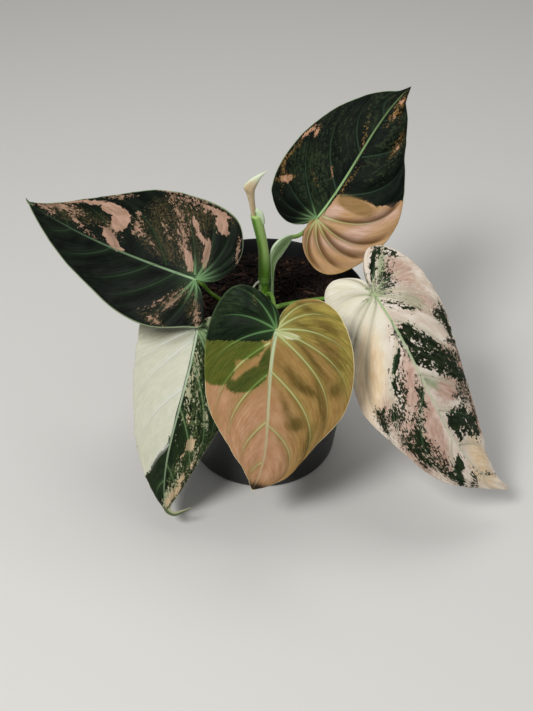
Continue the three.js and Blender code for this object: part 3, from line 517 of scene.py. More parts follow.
def spline(points, count, alpha=0.0):
    """A smooth curve through points, as count + 1 evenly spaced points and their directions. alpha is 0
    for a uniform curve, 0.5 for one that keeps close to uneven points."""
    p = np.asarray(points, float)
    if alpha:
        p = np.vstack([2 * p[0] - p[1], p, 2 * p[-1] - p[-2]])
    else:
        p = np.vstack([p[0], p, p[-1]])
    gaps = np.linalg.norm(np.diff(p, axis=0), axis=1) ** alpha
    t = np.linspace(0, 1, SPLINE_STEPS, endpoint=False)[:, None]
    runs = []
    for i in range(1, len(p) - 2):
        a, b, c = gaps[i - 1], gaps[i], gaps[i + 1]
        rise = p[i + 1] - p[i]
        leave = b * ((p[i] - p[i - 1]) / a - (p[i + 1] - p[i - 1]) / (a + b) + rise / b)
        meet = b * (rise / b - (p[i + 2] - p[i]) / (b + c) + (p[i + 2] - p[i + 1]) / c)
        cubic = (3 * rise - 2 * leave - meet) * t**2 + (leave + meet - 2 * rise) * t**3
        runs.append(p[i] + leave * t + cubic)
    fine = np.vstack(runs + [p[-2]])
    length = run_so_far(fine)
    even = np.linspace(0, length[-1], count + 1)
    at = np.stack([np.interp(even, length, fine[:, k]) for k in range(p.shape[1])], -1)
    return at, unit(np.gradient(at, axis=0))


def waves(points, size, seed):
    """Smooth unevenness between about -1 and 1: a sum of sine waves in set random directions."""
    rng = np.random.default_rng(seed)
    total = np.zeros(points.shape[:-1])
    for octave in range(3):
        for _ in range(5):
            heading = unit(rng.normal(size=points.shape[-1]))
            wave = TURN / size * 1.9**octave * rng.uniform(0.8, 1.25)
            total += np.sin(points @ heading * wave + rng.uniform(0, TURN)) / 1.8**octave
    return total / 4


def add_object(name, data):
    made = bpy.data.objects.new(name, data)
    bpy.context.scene.collection.objects.link(made)
    return made


class Shape:
    """A mesh put together from grids, with named values on its points. A value is a number, an array, or
    in a tube or spindle also a function of the share of its length and the angle."""

    def __init__(self):
        self.points, self.faces, self.values, self.count = [], [], {}, 0

    def add(self, points, faces, **values):
        points = np.asarray(points, float).reshape(-1, 3)
        self.points.append(points)
        self.faces.append(np.asarray(faces, int) + self.count)
        for name in {**self.values, **values}:
            wide = 3 if name == "flow" else 1
            value = np.asarray(values.get(name, 0.0), float)
            value = value.reshape(-1, wide) if value.ndim else value
            blocks = self.values.setdefault(name, [np.zeros((self.count, wide))])
            blocks.append(np.broadcast_to(value, (len(points), wide)))
        self.count += len(points)

    def grid(self, points, flip=False, closed=False, **values):
        """A sheet from rows of points; closed joins each row's end to its start."""
        rows, cols = points.shape[:2]
        a = np.arange(rows * cols).reshape(rows, cols)
        if closed:
            a = np.hstack([a, a[:, :1]])
        quads = np.stack([a[:-1, :-1], a[:-1, 1:], a[1:, 1:], a[1:, :-1]], -1).reshape(-1, 4)
        self.add(points, quads[:, ::-1] if flip else quads, **values)

    def sleeve(self, centre, across, front, f, angle, values):
        """A closed skin round a centre line, from its offsets across and in front of it."""
        skin = centre[:, None] + across + front
        ends = [np.broadcast_to(skin[k].mean(0), (1,) + skin.shape[1:]) for k in (0, -1)]
        f = np.concatenate([[[0]], f, [[1]]]) + 0 * angle
        angle = angle + 0 * f
        flow = np.stack([angle / TURN, f * run_length(centre), f], -1)
        made = {key: value(f, angle) if callable(value) else value for key, value in values.items()}
        self.grid(np.concatenate([ends[0], skin, ends[1]]), closed=True, flow=flow, **made)

    def tube(self, points, ring, steps, sides, facing=(0, -1, 0), **values):
        """A closed tube along a smooth curve. ring(f, angle) gives its offsets across and in front."""
        centre, along = spline(points, steps, 0.5)
        across = unit(np.cross(np.asarray(facing, float), along))
        front = np.cross(along, across)
        f, angle = np.linspace(0, 1, steps + 1)[:, None], turns(sides)[None, :]
        x, y = np.broadcast_arrays(*ring(f, angle))
        self.sleeve(centre, across[:, None] * x[..., None], front[:, None] * y[..., None], f, angle, values)

    def spindle(self, edges, depth, steps, sides, facing=(0, -1, 0), lap=0.0, **values):
        """A closed body whose two sides follow two edge curves. depth(f, angle, half width) is its half
        depth in mm; lap winds it in on itself like a rolled leaf."""
        a, b = [spline(edge, steps, 0.5)[0] for edge in edges]
        centre, across = (a + b) / 2, (b - a) / 2
        along = unit(np.gradient(centre, axis=0))
        front = unit(np.cross(along, np.cross(np.asarray(facing, float), along)))
        f, angle = np.linspace(0, 1, steps + 1)[:, None], turns(sides)[None, :]
        wound = 1 - lap * angle / TURN
        x = (np.cos(angle) * wound)[..., None] * across[:, None]
        y = np.sin(angle) * wound * depth(f, angle, np.linalg.norm(across, axis=1)[:, None])
        self.sleeve(centre, x, y[..., None] * front[:, None], f, angle, values)

    def piece(self, name, material, node, slot=None):
        """The finished object, standing for a CAD node: shared points merged, flat faces dropped."""
        points = np.concatenate(self.points)
        _, first, index = np.unique(np.round(points, 3), axis=0, return_index=True, return_inverse=True)
        index = index.reshape(-1)
        faces = []
        for block in self.faces:
            for face in index[block].tolist():
                slim = [v for k, v in enumerate(face) if v != face[k - 1]]
                if len(slim) > 2 and len(set(slim)) == len(slim):
                    faces.append(slim)
        mesh = bpy.data.meshes.new(name)
        mesh.from_pydata((points[first] * MM).tolist(), [], faces)
        for key, blocks in self.values.items():
            value = np.concatenate(blocks)[first]
            kind, field = ("FLOAT_VECTOR", "vector") if value.shape[1] == 3 else ("FLOAT", "value")
            mesh.attributes.new(key, kind, "POINT").data.foreach_set(field, value.ravel())
        mesh.polygons.foreach_set("use_smooth", [True] * len(mesh.polygons))
        mesh.materials.append(material)
        mesh.update()
        made = add_object(name, mesh)
        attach(made, BODY)
        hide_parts(node)
        return made


# Helpers for materials

def linear(colour):
    parts = [int(colour[k:k + 2], 16) / 255 for k in (1, 3, 5)]
    return [c / 12.92 if c < 0.04045 else ((c + 0.055) / 1.055) ** 2.4 for c in parts] + [1]


class Finish:
    """One material's node tree, with short names for the nodes it is made from."""

    def __init__(self, name, roughness=0.5, specular=0.5):
        self.material = bpy.data.materials.new(name)
        self.material.use_nodes = True
        self.tree = self.material.node_tree
        self.shader = self.tree.nodes["Principled BSDF"]
        self.shader.inputs["Roughness"].default_value = roughness
        self.shader.inputs["Specular IOR Level"].default_value = specular

    def node(self, kind, *inputs, **settings):
        made = self.tree.nodes.new(kind)
        for key, value in settings.items():
            setattr(made, key, value)
        for socket, value in inputs:
            self.put(made.inputs[socket], value)
        return made

    def put(self, socket, value):
        if isinstance(value, bpy.types.NodeSocket):
            self.tree.links.new(value, socket)
        elif isinstance(value, str):
            socket.default_value = linear(value)
        else:
            socket.default_value = value

    def value(self, name):
        return self.node("ShaderNodeAttribute", attribute_name=name).outputs["Fac"]

    def vector(self, name):
        return self.node("ShaderNodeAttribute", attribute_name=name).outputs["Vector"]

    def place(self):
        return self.node("ShaderNodeTexCoord").outputs["Object"]

    def maths(self, operation, a, b=0.0):
        return self.node("ShaderNodeMath", (0, a), (1, b), operation=operation).outputs[0]

    def times(self, a, b):
        return self.maths("MULTIPLY", a, b)

    def scaled(self, vector, by):
        return self.node("ShaderNodeMapping", (0, vector), ("Scale", by)).outputs[0]

    def noise(self, vector, scale, detail=3.0, roughness=0.55, distortion=0.0):
        return self.node("ShaderNodeTexNoise", ("Vector", vector), ("Scale", scale), ("Detail", detail),
                         ("Roughness", roughness), ("Distortion", distortion)).outputs[0]

    def ease(self, value, low, high, to_low=0.0, to_high=1.0):
        return self.node("ShaderNodeMapRange", (0, value), (1, low), (2, high), (3, to_low), (4, to_high),
                         interpolation_type="SMOOTHSTEP").outputs[0]

    def mix(self, share, a, b, blend="MIX"):
        made = self.node("ShaderNodeMix", data_type="RGBA", blend_type=blend)
        self.put(made.inputs[0], share)
        self.put(made.inputs[6], a)
        self.put(made.inputs[7], b)
        return made.outputs[2]

    def towards(self, share, old, new):
        """A colour or a number that gives way to a new one as share grows."""
        return self.mix(share, old, new) if isinstance(new, str) else self.ease(share, 0, 1, old, new)

    def finish(self, colour, bumps=(), roughness=None):
        """Sets the colour, and lays bumps (height, strength, distance in mm) one over another."""
        self.put(self.shader.inputs["Base Color"], colour)
        if roughness is not None:
            self.put(self.shader.inputs["Roughness"], roughness)
        normal = None
        for height, strength, distance in bumps:
            bump = self.node("ShaderNodeBump", ("Strength", strength), ("Distance", distance * MM),
                             ("Height", height))
            if normal is not None:
                self.put(bump.inputs["Normal"], normal)
            normal = bump.outputs[0]
        if normal is not None:
            self.put(self.shader.inputs["Normal"], normal)
        return self.material


# Material of the blades

def mark_share(m, mark, k, flow, place):
    """Where a mark covers the blade: its blots' field, broken up by noise read in the flow of the veins."""
    pace = 1 / mark["size"]
    streak = m.noise(m.scaled(flow, (pace, pace / mark["stretch"], 1)), 1.0 + 0.07 * k, 5, 0.62, 0.5)
    grain = m.noise(place, (950 + 60 * k) * pace, 4, 0.6)
    broken = m.maths("ADD", m.times(streak, 0.6), m.times(grain, 0.4))
    push = m.times(m.maths("SUBTRACT", broken, 0.5), 6 * mark["grain"])
    return m.ease(m.maths("ADD", m.value(f"mark_{k}"), push), -mark["soft"], mark["soft"])


def marked_ground(m, name, flow, place):
    """The ground colour under its marks, and the look of the veins as the marks leave it."""
    look = {**PLAIN_LOOK, **LOOKS[name]}
    drift = m.noise(m.scaled(flow, (0.16, 0.05, 1)), 1.0, 4, 0.6)
    colour = m.mix(m.ease(drift, 0.36, 0.64), *look["ground"])
    for k, mark in enumerate(MARKS[name]):
        share = mark_share(m, mark, k, flow, place)
        drift = m.noise(m.scaled(flow, (0.3, 0.08, 1)), 1.3, 4)
        colour = m.mix(share, colour, m.mix(m.ease(drift, 0.3, 0.7), *mark["colours"]))
        for key, value in {"veil": 1, **mark}.items():
            if key in look:
                look[key] = m.towards(share, look[key], value)
    return colour, look


def leaf_finish(name):
    """Velvety blade: a ground colour and its marks, then fine side veins, main veins with a soft glow and
    painted shade in the groove past each, the midrib and a thin pale margin."""
    m = Finish(f"blade_{name}", roughness=0.5, specular=0.05)
    flow, place = m.vector("flow"), m.place()
    colour, look = marked_ground(m, name, flow, place)

    # Fine side veins: side is how far a point is from the nearest one
    side = m.times(m.maths("PINGPONG", m.value("comb"), 0.5), m.value("comb_pace"))
    side_strength = m.times(m.value("comb_strength"), m.ease(look["veil"], 0.1, 0.9, 0.2, 1.0))
    side_strength = m.times(side_strength, look["comb"])
    side_line = m.times(m.ease(side, 0.05, 0.5, 1.0, 0.0), side_strength)
    colour = m.mix(side_line, colour, SIDE_VEIN_TINT, "MULTIPLY")
    between = m.times(m.ease(side, 0.25, 0.85), side_strength)
    colour = m.mix(between, colour, SIDE_HOLLOW_TINT, "MULTIPLY")

    # Main veins: beyond is how far a point is past the nearest one, towards the tip
    cell = m.value("cell")
    beyond = m.times(m.maths("SUBTRACT", cell, m.maths("ROUND", cell)), m.value("pace"))
    distance = m.maths("ABSOLUTE", beyond)
    veil = m.times(look["veil"], m.value("vein_strength"))
    glow = m.times(m.ease(distance, 0.2, GLOW_REACH, 0.55, 0.0), veil)
    colour = m.mix(glow, colour, look["glow"])
    # Painted shade: darkens the groove just past each main vein, towards the tip, as if lit from the other
    # side
    painted_groove_shade = m.times(m.ease(beyond, 0.2, PAINTED_GROOVE_SHADE_REACH, 1.0, 0.0), m.ease(beyond, -0.9, 0.2))
    painted_groove_shade = m.times(m.times(painted_groove_shade, m.value("painted_groove_shade_strength")), look["painted_groove_shade"])
    colour = m.mix(painted_groove_shade, colour, PAINTED_GROOVE_SHADE_TINT, "MULTIPLY")
    near_vein = m.ease(distance, 0.1, 1.0, 1.0, 0.12)
    colour = m.mix(m.times(m.ease(m.value("hub"), 0, HUB_REACH, 0.75, 0.0), near_vein), colour, look["hub"])
    line = m.times(m.ease(distance, 0.1, m.value("vein_width"), 1.0, 0.0), veil)
    colour = m.mix(m.times(line, look["shine"]), colour, look["line"])

    # Midrib, underside and margin
    rib = m.times(m.ease(m.value("rib"), 0.45, 1.2, 1.0, 0.0), m.value("rib_strength"))
    colour = m.mix(rib, colour, m.mix(m.value("ahead"), *look["midrib"][:2]))
    colour = m.mix(m.times(m.value("under"), 0.5), colour, look["under"])
    colour = m.mix(m.ease(m.value("edge"), 0.4, MARGIN_WIDTH, look["rim"], 0.0), colour, look["margin"])

    # Velvety relief
    fine = m.noise(place, 2600, 2)
    cells = m.noise(m.scaled(flow, (1.1, 0.45, 1)), 1.0, 2)
    trench = m.times(m.ease(distance, 0.0, 1.1), m.value("vein_strength"))
    furrow = m.times(m.ease(side, 0.0, 0.8), side_strength)
    bumps = [(trench, 0.9, 0.55), (furrow, 0.4, 0.08), (cells, 0.35, 0.22), (fine, 0.25, 0.08)]
    return m.finish(colour, bumps, m.ease(fine, 0.3, 0.7, 0.42, 0.56))


# Blades

class LeafSurface:
    """The surface of one leaf, addressed by u along the midrib and v across it, v being positive on the
    left half, seen from above with the tip ahead."""

    def __init__(self, leaf):
        self.leaf = leaf
        start, end = np.array(leaf["junction"], float), np.array(leaf["tip"], float)
        chord = end - start
        ahead = unit(chord)
        self.level = unit(np.cross([0, 0, 1], ahead))
        up = np.cross(ahead, self.level)
        inner = [
            start + chord * (k + 1) / 3 + up * leaf["lift"][k] + self.level * leaf["sway"][k] for k in (0, 1)
        ]
        t = np.linspace(0, 1, MIDRIB_STEPS + 1)[:, None]
        self.line = ((1 - t) ** 3 * start + 3 * t * (1 - t) ** 2 * inner[0] + 3 * t**2 * (1 - t) * inner[1]
                     + t**3 * end)
        self.run = run_so_far(self.line)
        self.length = self.run[-1]
        self.heading = unit(np.gradient(self.line, axis=0))

    def midrib(self, u, table):
        return np.stack([np.interp(u, self.run, table[:, k]) for k in range(3)], -1)

    def half_value(self, half, key, f):
        """fold or curl, in radians, at a share f of the midrib."""
        value = self.leaf[half][key]
        start, end = value if isinstance(value, tuple) else (value, value)
        return np.radians(start + (end - start) * f)

    def at(self, u, v, height):
        """Points at (u, v), raised by height along the surface's upward normal."""
        u, v, height = np.broadcast_arrays(np.asarray(u, float), np.asarray(v, float), height)
        f = np.clip(u / self.length, 0, 1)
        point = self.midrib(np.clip(u, 0, self.length), self.line)
        along = unit(self.midrib(np.clip(u, 0, self.length), self.heading))
        side = unit(self.level - along * (along @ self.level)[..., None])
        up = np.cross(along, side)
        bend = math.radians(self.leaf["lobe_bend"]) / LOBE_BEND_LENGTH or 1e-9
        back = bend * np.clip(-u, 0, None)[..., None]
        point = point - along * np.sin(back) / bend - up * (1 - np.cos(back)) / bend
        up = np.cross(along * np.cos(back) + up * np.sin(back), side)
        start, end = self.leaf["roll"]
        roll = np.radians(start + (end - start) * f)[..., None]
        side, up = side * np.cos(roll) + up * np.sin(roll), up * np.cos(roll) - side * np.sin(roll)
        left = v >= 0
        fold, curl = [
            np.where(left, self.half_value("left", key, f), self.half_value("right", key, f))
            for key in ("fold", "curl")
        ]
        curl = curl / BLADE_HALF_WIDTH
        far = np.abs(v)
        angle = fold + curl * far
        across = ((np.sin(angle) - np.sin(fold)) / curl)[..., None]
        rise = ((np.cos(fold) - np.cos(angle)) / curl)[..., None]
        tilt = (angle * smooth(far, 0, 0.8))[..., None]
        outward = side * np.where(left, 1, -1)[..., None]
        normal = up * np.cos(tilt) - outward * np.sin(tilt)
        return point + outward * across + up * rise + normal * height[..., None]


def vein_rows(surface, half):
    """A grid over one half of a blade whose rows run the way the veins do, from the midrib out to the
    margin: u, v, each row's share of the margin, each column's share of the row, the margin's length."""
    spec = surface.leaf[half]
    veins, fan = np.array(spec["veins"]), spec["fan"]
    lobe = np.union1d(np.linspace(0, 1, LOBE_ROWS, endpoint=False), veins[veins < fan] / fan)
    far = (veins[veins > fan] - fan) / (1 - fan)
    ahead = np.union1d(np.linspace(0, 1, FORWARD_ROWS + 1) ** ROOT_SPREAD, far ** spec["reach"])
    roots = np.concatenate([0 * lobe, surface.length * ahead])
    share = np.concatenate([fan * lobe, fan + (1 - fan) * ahead ** (1 / spec["reach"])])
    margin = spline(((0, 0),) + spec["outline"] + ((surface.length, 0),), MARGIN_STEPS)[0]
    even = np.linspace(0, 1, MARGIN_STEPS + 1)
    ends = np.stack([np.interp(share, even, margin[:, k]) for k in (0, 1)], -1)
    arch = spec["arch"] * np.clip(share / 0.12, 0, 1)
    bend_u = roots + (ends[:, 0] - roots) * ROW_SKEW - arch * ends[:, 1]
    bend_v = ends[:, 1] * ROW_SKEW + arch * (ends[:, 0] - roots)
    q = (1 - (1 - np.linspace(0, 1, COLUMNS + 1)) ** 1.15)[None, :]
    u = (1 - q) ** 2 * roots[:, None] + 2 * q * (1 - q) * bend_u[:, None] + q**2 * ends[:, :1]
    v = 2 * q * (1 - q) * bend_v[:, None] + q**2 * ends[:, 1:]
    return u, v, np.broadcast_to(share[:, None], u.shape), np.broadcast_to(q, u.shape), run_length(margin)


def vein_cells(u, v, share, veins):
    """Each point's place among the main veins, counted in whole veins, how many mm one count is, and how
    many mm the whole margin's share is there."""
    step = np.gradient(share[:, 0])[:, None]
    du, dv = np.gradient(u, axis=0) / step, np.gradient(v, axis=0) / step
    ru, rv = np.gradient(u, axis=1), np.gradient(v, axis=1)
    spread = np.abs(du * rv - dv * ru) / np.maximum(np.hypot(ru, rv), 1e-6)
    stops = np.array((0.0,) + veins + (1.0,))
    cell = np.interp(share, stops, np.arange(len(stops)))
    gap = np.diff(stops)[np.clip(cell.astype(int), 0, len(veins))]
    return cell, spread * gap, spread


def blots_field(blots, u, v):
    """How deep inside its blots each point is; below 0 outside."""
    field = np.full(u.shape, -6.0)
    for blot_u, blot_v, half_length, half_width, turn, strength in blots:
        a = math.radians(turn)
        x = ((u - blot_u) * math.cos(a) + (v - blot_v) * math.sin(a)) / half_length
        y = ((v - blot_v) * math.cos(a) - (u - blot_u) * math.sin(a)) / half_width
        near = np.hypot(x, y)
        inside = strength - abs(strength) * near**2 - 0.6 * near**4
        outside = -0.6 + min(strength, 0) * 2 - min(half_length, half_width, 12) * 0.9 * (near - 1)
        field = np.logaddexp(field * 1.5, np.where(near < 1, inside, outside) * 1.5) / 1.5
    return np.clip(field, -8, 8)


def blade_half(shape, surface, name, half, sign):
    """One half of a blade: its top, its underside and the rim between them."""
    spec, midrib, length = surface.leaf[half], LOOKS[name]["midrib"], surface.length
    u, v, share, q, run = vein_rows(surface, half)
    cell, pace, spread = vein_cells(u, v, share, spec["veins"])
    nearest = np.round(cell)
    main = (nearest > 0) & (nearest <= len(spec["veins"]))
    fine = hump(np.abs(cell - nearest) * pace, 0, 0.75) * smooth(q, 0, 0.12) * smooth(1 - q, 0, 0.35)
    row = np.hypot(np.gradient(u, axis=1), np.gradient(v, axis=1)).cumsum(1)
    edge = row[:, -1:] - row
    ahead = np.clip(u / length, 0, 1)

    # Relief in mm: wide ripples, the swelling between veins, the midrib's groove above and its keel below
    flat = np.stack([u, v * sign], -1)
    ripple = 0.45 * waves(flat, 26, 11) * q**2 + 0.12 * waves(flat, 6, 12) * q
    swell = np.abs(np.sin(math.pi * cell)) * smooth(q, 0.02, 0.4) * (1 - 0.8 * q**3)
    ridge = (1 - ahead) ** 0.5 * smooth(u, -3, 3)
    rise = spec["pleat"] * swell - 0.2 * fine + ripple
    groove = 0.3 * ridge * (hump(v, 0, 0.8) - 0.7 * hump(v, 2.2, 1.1))
    keel = 1.5 * ridge * hump(v, 0, 1.25) + 0.25 * fine
    thick = (MARGIN_THICKNESS + (BLADE_THICKNESS - MARGIN_THICKNESS) * smooth(edge, 0, 3)) / 2

    v = v * sign
    same = {
        "flow": np.stack([share * run, row + 0.3 * u, 0 * u + 7 * sign], -1),
        "cell": cell,
        "pace": pace,
        "vein_width": 0.3 + 0.55 * (1 - q) ** 1.6,
        "vein_strength": main * smooth(1 - q, 0.0, 0.75) * (0.5 + 0.5 * smooth(1 - share, 0, 0.2)),
        # Where the painted shade in the groove past each main vein shows
        "painted_groove_shade_strength": main * smooth(1 - q, 0.0, 0.25) * smooth(q, 0.02, 0.2),
        "comb": share * run / COMB_SPACING + 0.35 * waves(flat, 30, 13),
        "comb_pace": spread / run * COMB_SPACING,
        "comb_strength": smooth(q, 0.1, 0.4) * smooth(spread / run, 0.25, 0.6),
        "hub": np.hypot(u, v),
        "ahead": ahead ** midrib[3],
        "rib": np.abs(v) / (0.25 + midrib[2] * ridge),
        "rib_strength": smooth(u, -5, 2) * (0.25 + 0.7 * ridge) * smooth(length - u, 0, 12),
        "edge": edge,
    }
    for k, mark in enumerate(MARKS[name]):
        here = mark.get("side", sign) == sign
        same[f"mark_{k}"] = blots_field(mark["blots"] if here else [], u, v)

    top = surface.at(u, v, rise + groove + thick)
    low = surface.at(u, v, rise - keel - thick)
    end = v[:, -1:]
    rim = surface.at(u[:, -1:], end * (1 + 0.15 / np.maximum(np.abs(end), 3)), rise[:, -1:])
    shape.grid(top, flip=sign < 0, under=0.0, **same)
    shape.grid(low, flip=sign > 0, under=1.0, **same)
    last = {key: np.repeat(value[:, -1:], 3, axis=1) for key, value in same.items()}
    shape.grid(np.concatenate([top[:, -1:], rim, low[:, -1:]], 1), flip=sign < 0, under=0.5, **last)


def tail(name, shape):
    """The thin curled end of a blade, its pale lower edge thicker than its face."""
    route, half_width = TAILS[name]

    def ring(f, angle):
        width = half_width * (1 - f) ** 0.8 * smooth(f + 0.35, 0, 0.5) + 0.08
        return width * np.cos(angle), (0.12 + 0.18 * (1 - f)) * np.sin(angle)

    unmarked = {f"mark_{k}": -8.0 for k in range(len(MARKS[name]))}
    shape.tube(route, ring, steps=40, sides=20, facing=(0, -0.9, 0.4), hub=99.0, under=1.5,
               edge=lambda f, angle: 0.8 - 0.8 * np.cos(angle), **unmarked)


def make_blades():
    surfaces = {}
    for name, leaf in LEAVES.items():
        shape, surfaces[name] = Shape(), LeafSurface(leaf)
        for half, sign in (("left", 1), ("right", -1)):
            blade_half(shape, surfaces[name], name, half, sign)
        if name in TAILS:
            tail(name, shape)
        shape.piece(f"leaf_{name}", leaf_finish(name), f"blade_{name}")
    return surfaces


# Petioles, stem and shoot

def green_finish(name, gloss=0.42):
    """Young plant tissue: two tones lengthwise, finer streaks of a third, and fine grooves."""
    tones, streak_colour, (across, along), pale = GREENS[name]
    m = Finish(name, roughness=gloss, specular=0.4)
    flow = m.vector("flow")
    wide = m.noise(m.scaled(flow, (across * 0.4, along, 1)), 1.0, 3)
    narrow = m.noise(m.scaled(flow, (across, along, 1)), 2.2, 4, 0.6)
    colour = m.mix(m.ease(wide, 0.35, 0.65), *tones)
    colour = m.mix(m.times(m.ease(narrow, 0.52, 0.68), 0.75), colour, streak_colour)
    # Pale and dark places; on the shoot's stalk, painted highlight and painted shade
    colour = m.mix(m.value("tint_pale"), colour, pale)
    colour = m.mix(m.value("tint_dark"), colour, DARK_TINT)
    return m.finish(colour, [(narrow, 0.5, 0.25), (m.noise(m.place(), 1500, 3), 0.3, 0.1)])


def petiole(name, surface):
    """A round stalk with a sheathing foot, a swollen knee near its blade, and an end that runs on into
    the midrib."""
    knee = surface.at([-2.2, 0.8, 5.0], [0, 0, 0], np.array([-2.6, -1.5, -1.35]))
    route = [*PETIOLES[name], *knee.tolist()]
    length = run_length(route)
    knee_share = 1 - 9 / length
    bulk = smooth(length, 15, 40)
    slim = PETIOLE_RADIUS * (0.76 + 0.24 * bulk)

    def ring(f, angle):
        foot = 0.55 * bulk * smooth(1 - f * length / 26) * (0.6 + 0.4 * np.cos(angle - 1.2))
        knot = (0.1 + 0.22 * bulk) * np.exp(-(((f - knee_share) * length / 3.6) ** 2))
        radius = (slim * (1.12 - 0.22 * f) + foot + knot) * (1 - 0.55 * smooth(f, 1 - 6 / length, 1))
        radius = radius - 0.22 * hump(angle, math.pi * 1.5, 0.5) * smooth(f, 0.2, 0.5)
        return radius * np.cos(angle), radius * np.sin(angle)

    def pale(f, angle):
        return np.clip(0.65 * smooth(f, knee_share - 0.03, 1) + 0.5 * smooth(1 - f * length / 18), 0, 0.8)

    shape = Shape()
    shape.tube(route, ring, PETIOLE_STEPS, PETIOLE_SIDES, facing=(0, -0.6, 0.8), tint_pale=pale)
    return shape


def make_petioles(surfaces):
    finish = green_finish("petiole")
    for name, surface in surfaces.items():
        petiole(name, surface).piece(f"stalk_{name}", finish, f"petiole_{name}", slot="petiole")


def make_stem():
    def ring(f, angle):
        nodes = 0.3 * hump(f, 0.955, 0.035) + 0.3 * hump(f, 0.6, 0.02)
        ribs = 0.06 * np.sin(angle * 9) + 0.04 * np.sin(angle * 17 + 1)
        radius = STEM_RADIUS + nodes - 0.06 * hump(f, 0.915, 0.008) + ribs
        return radius * np.cos(angle), radius * np.sin(angle)

    def pale(f, angle):
        stripe = 0.85 * smooth(np.cos(angle - 0.25), 0.55, 0.8) * smooth(0.95 - f, 0, 0.03)
        return np.maximum(stripe, 0.15 * hump(f, 0.955, 0.03))

    shape = Shape()
    shape.tube(STEM_ROUTE, ring, STEM_STEPS, STEM_SIDES, tint_pale=pale,
               tint_dark=lambda f, angle: 0.3 * hump(f, 0.922, 0.008))
    shape.piece("stem", green_finish("main_stem"), "main_stem")


def make_shoot_stalk():
    # The pale right side is a painted highlight
    def pale(f, angle):
        side = 0.7 * smooth(np.cos(angle - 0.9), 0.4, 0.9) * smooth(f, 0.05, 0.5)
        return np.clip(side + 0.85 * smooth(f, 0.965, 0.985), 0, 1)

    # The dark left side is painted shade
    def dark(f, angle):
        return 0.45 * smooth(-np.cos(angle + 0.5), 0.2, 0.95) * smooth(1 - f, 0.1, 0.6)

    shape = Shape()
    shape.spindle(STALK_EDGES, lambda f, angle, width: 0.94 * width, SHOOT_STEPS, SHOOT_SIDES,
                  tint_pale=pale, tint_dark=dark)
    shape.piece("shoot", green_finish("shoot_stalk"), "shoot_stalk")


def make_sheath_lip():
    shape = Shape()
    shape.spindle(HOOD_EDGES, lambda f, angle, width: 0.5 * width + 0.25, steps=50, sides=32)
    shape.piece("sheath_lip", green_finish("shoot_sheath_lip"), "shoot_sheath_lip")


def make_young_leaf():
    """The new leaf, still rolled, coming out of the sheath."""
    def pale(f, angle):
        side = 0.9 * smooth(-np.cos(angle - 0.5), 0.3, 0.7) * smooth(f, 0.38, 0.55)
        return np.clip(side + 0.8 * smooth(f, 0.6, 0.8), 0, 1)

    def dark(f, angle):
        return 0.3 * smooth(-np.cos(angle - 0.4), 0.7, 0.95) * smooth(f, 0.3, 0.5) * smooth(1 - f, 0.3, 0.4)

    shape = Shape()
    shape.spindle(YOUNG_LEAF_EDGES, lambda f, angle, width: 0.72 * width + 0.12, SHOOT_STEPS, SHOOT_SIDES,
                  lap=0.16, tint_pale=pale, tint_dark=dark)
    shape.piece("young_leaf", green_finish("new_leaf", gloss=0.38), "new_leaf")


def make_winged_sheath():
    """The boat-shaped sheath on the petiole of the back right leaf, and its foot along the stem."""
    def depth(f, angle, width):
        return (0.42 * width + 0.35) * (1 - 0.3 * smooth(np.sin(angle), 0.2, 1) * smooth(f, 0.4, 0.6))

    def dark(f, angle):
        return 0.25 * smooth(1 - np.abs(np.cos(angle)), 0.3, 0.8) * smooth(f, 0.45, 0.65)

    shape = Shape()
    shape.spindle(SHEATH_EDGES, depth, SHOOT_STEPS, SHOOT_SIDES, facing=(0.3, -0.9, 0.3), tint_dark=dark,
                  tint_pale=lambda f, angle: 0.8 * smooth(np.abs(np.cos(angle)), 0.6, 0.98))
    shape.piece("sheath", green_finish("winged_sheath"), "winged_sheath")


def make_root():
    def ring(f, angle):
        radius = ROOT_RADIUS - 0.2 * f**3
        return radius * np.cos(angle), radius * np.sin(angle)

    shape = Shape()
    shape.tube(ROOT_ROUTE, ring, steps=30, sides=16)
    shape.piece("air_root", green_finish("aerial_root"), "aerial_root")


# Pot and mix

def pot_finish():
    m = Finish("pot", roughness=0.42, specular=0.45)
    place = m.place()
    streak = m.noise(m.scaled(place, (40, 40, 900)), 1.0, 3)
    grain = m.noise(place, 900, 3)
    scuff = m.ease(m.noise(place, 60, 5, 0.7), 0.56, 0.75, 0.0, 0.5)
    colour = m.mix(scuff, "#191a1b", "#2b2b2b")
    return m.finish(colour, [(streak, 0.12, 0.3), (grain, 0.25, 0.15)], m.ease(grain, 0.3, 0.7, 0.38, 0.52))


def drain_cutter():
    """Upright prisms through the pot's floor, one for each drain hole."""
    points, faces, sides = [], [], DRAIN_HOLE_SIDES
    for turn in turns(DRAIN_HOLES):
        first = len(points)
        for z in DRAIN_CUT:
            for a in turns(sides):
                x = DRAIN_RING_RADIUS * math.cos(turn) + DRAIN_HOLE_RADIUS * math.cos(a)
                y = DRAIN_RING_RADIUS * math.sin(turn) + DRAIN_HOLE_RADIUS * math.sin(a)
                points.append((x * MM, y * MM, z * MM))
        low = list(range(first, first + sides))
        high = [j + sides for j in low]
        faces += [[low[j - 1], low[j], high[j], high[j - 1]] for j in range(sides)]
        faces += [low[::-1], high]
    mesh = bpy.data.meshes.new("holes")
    mesh.from_pydata(points, [], faces)
    return add_object("holes", mesh)


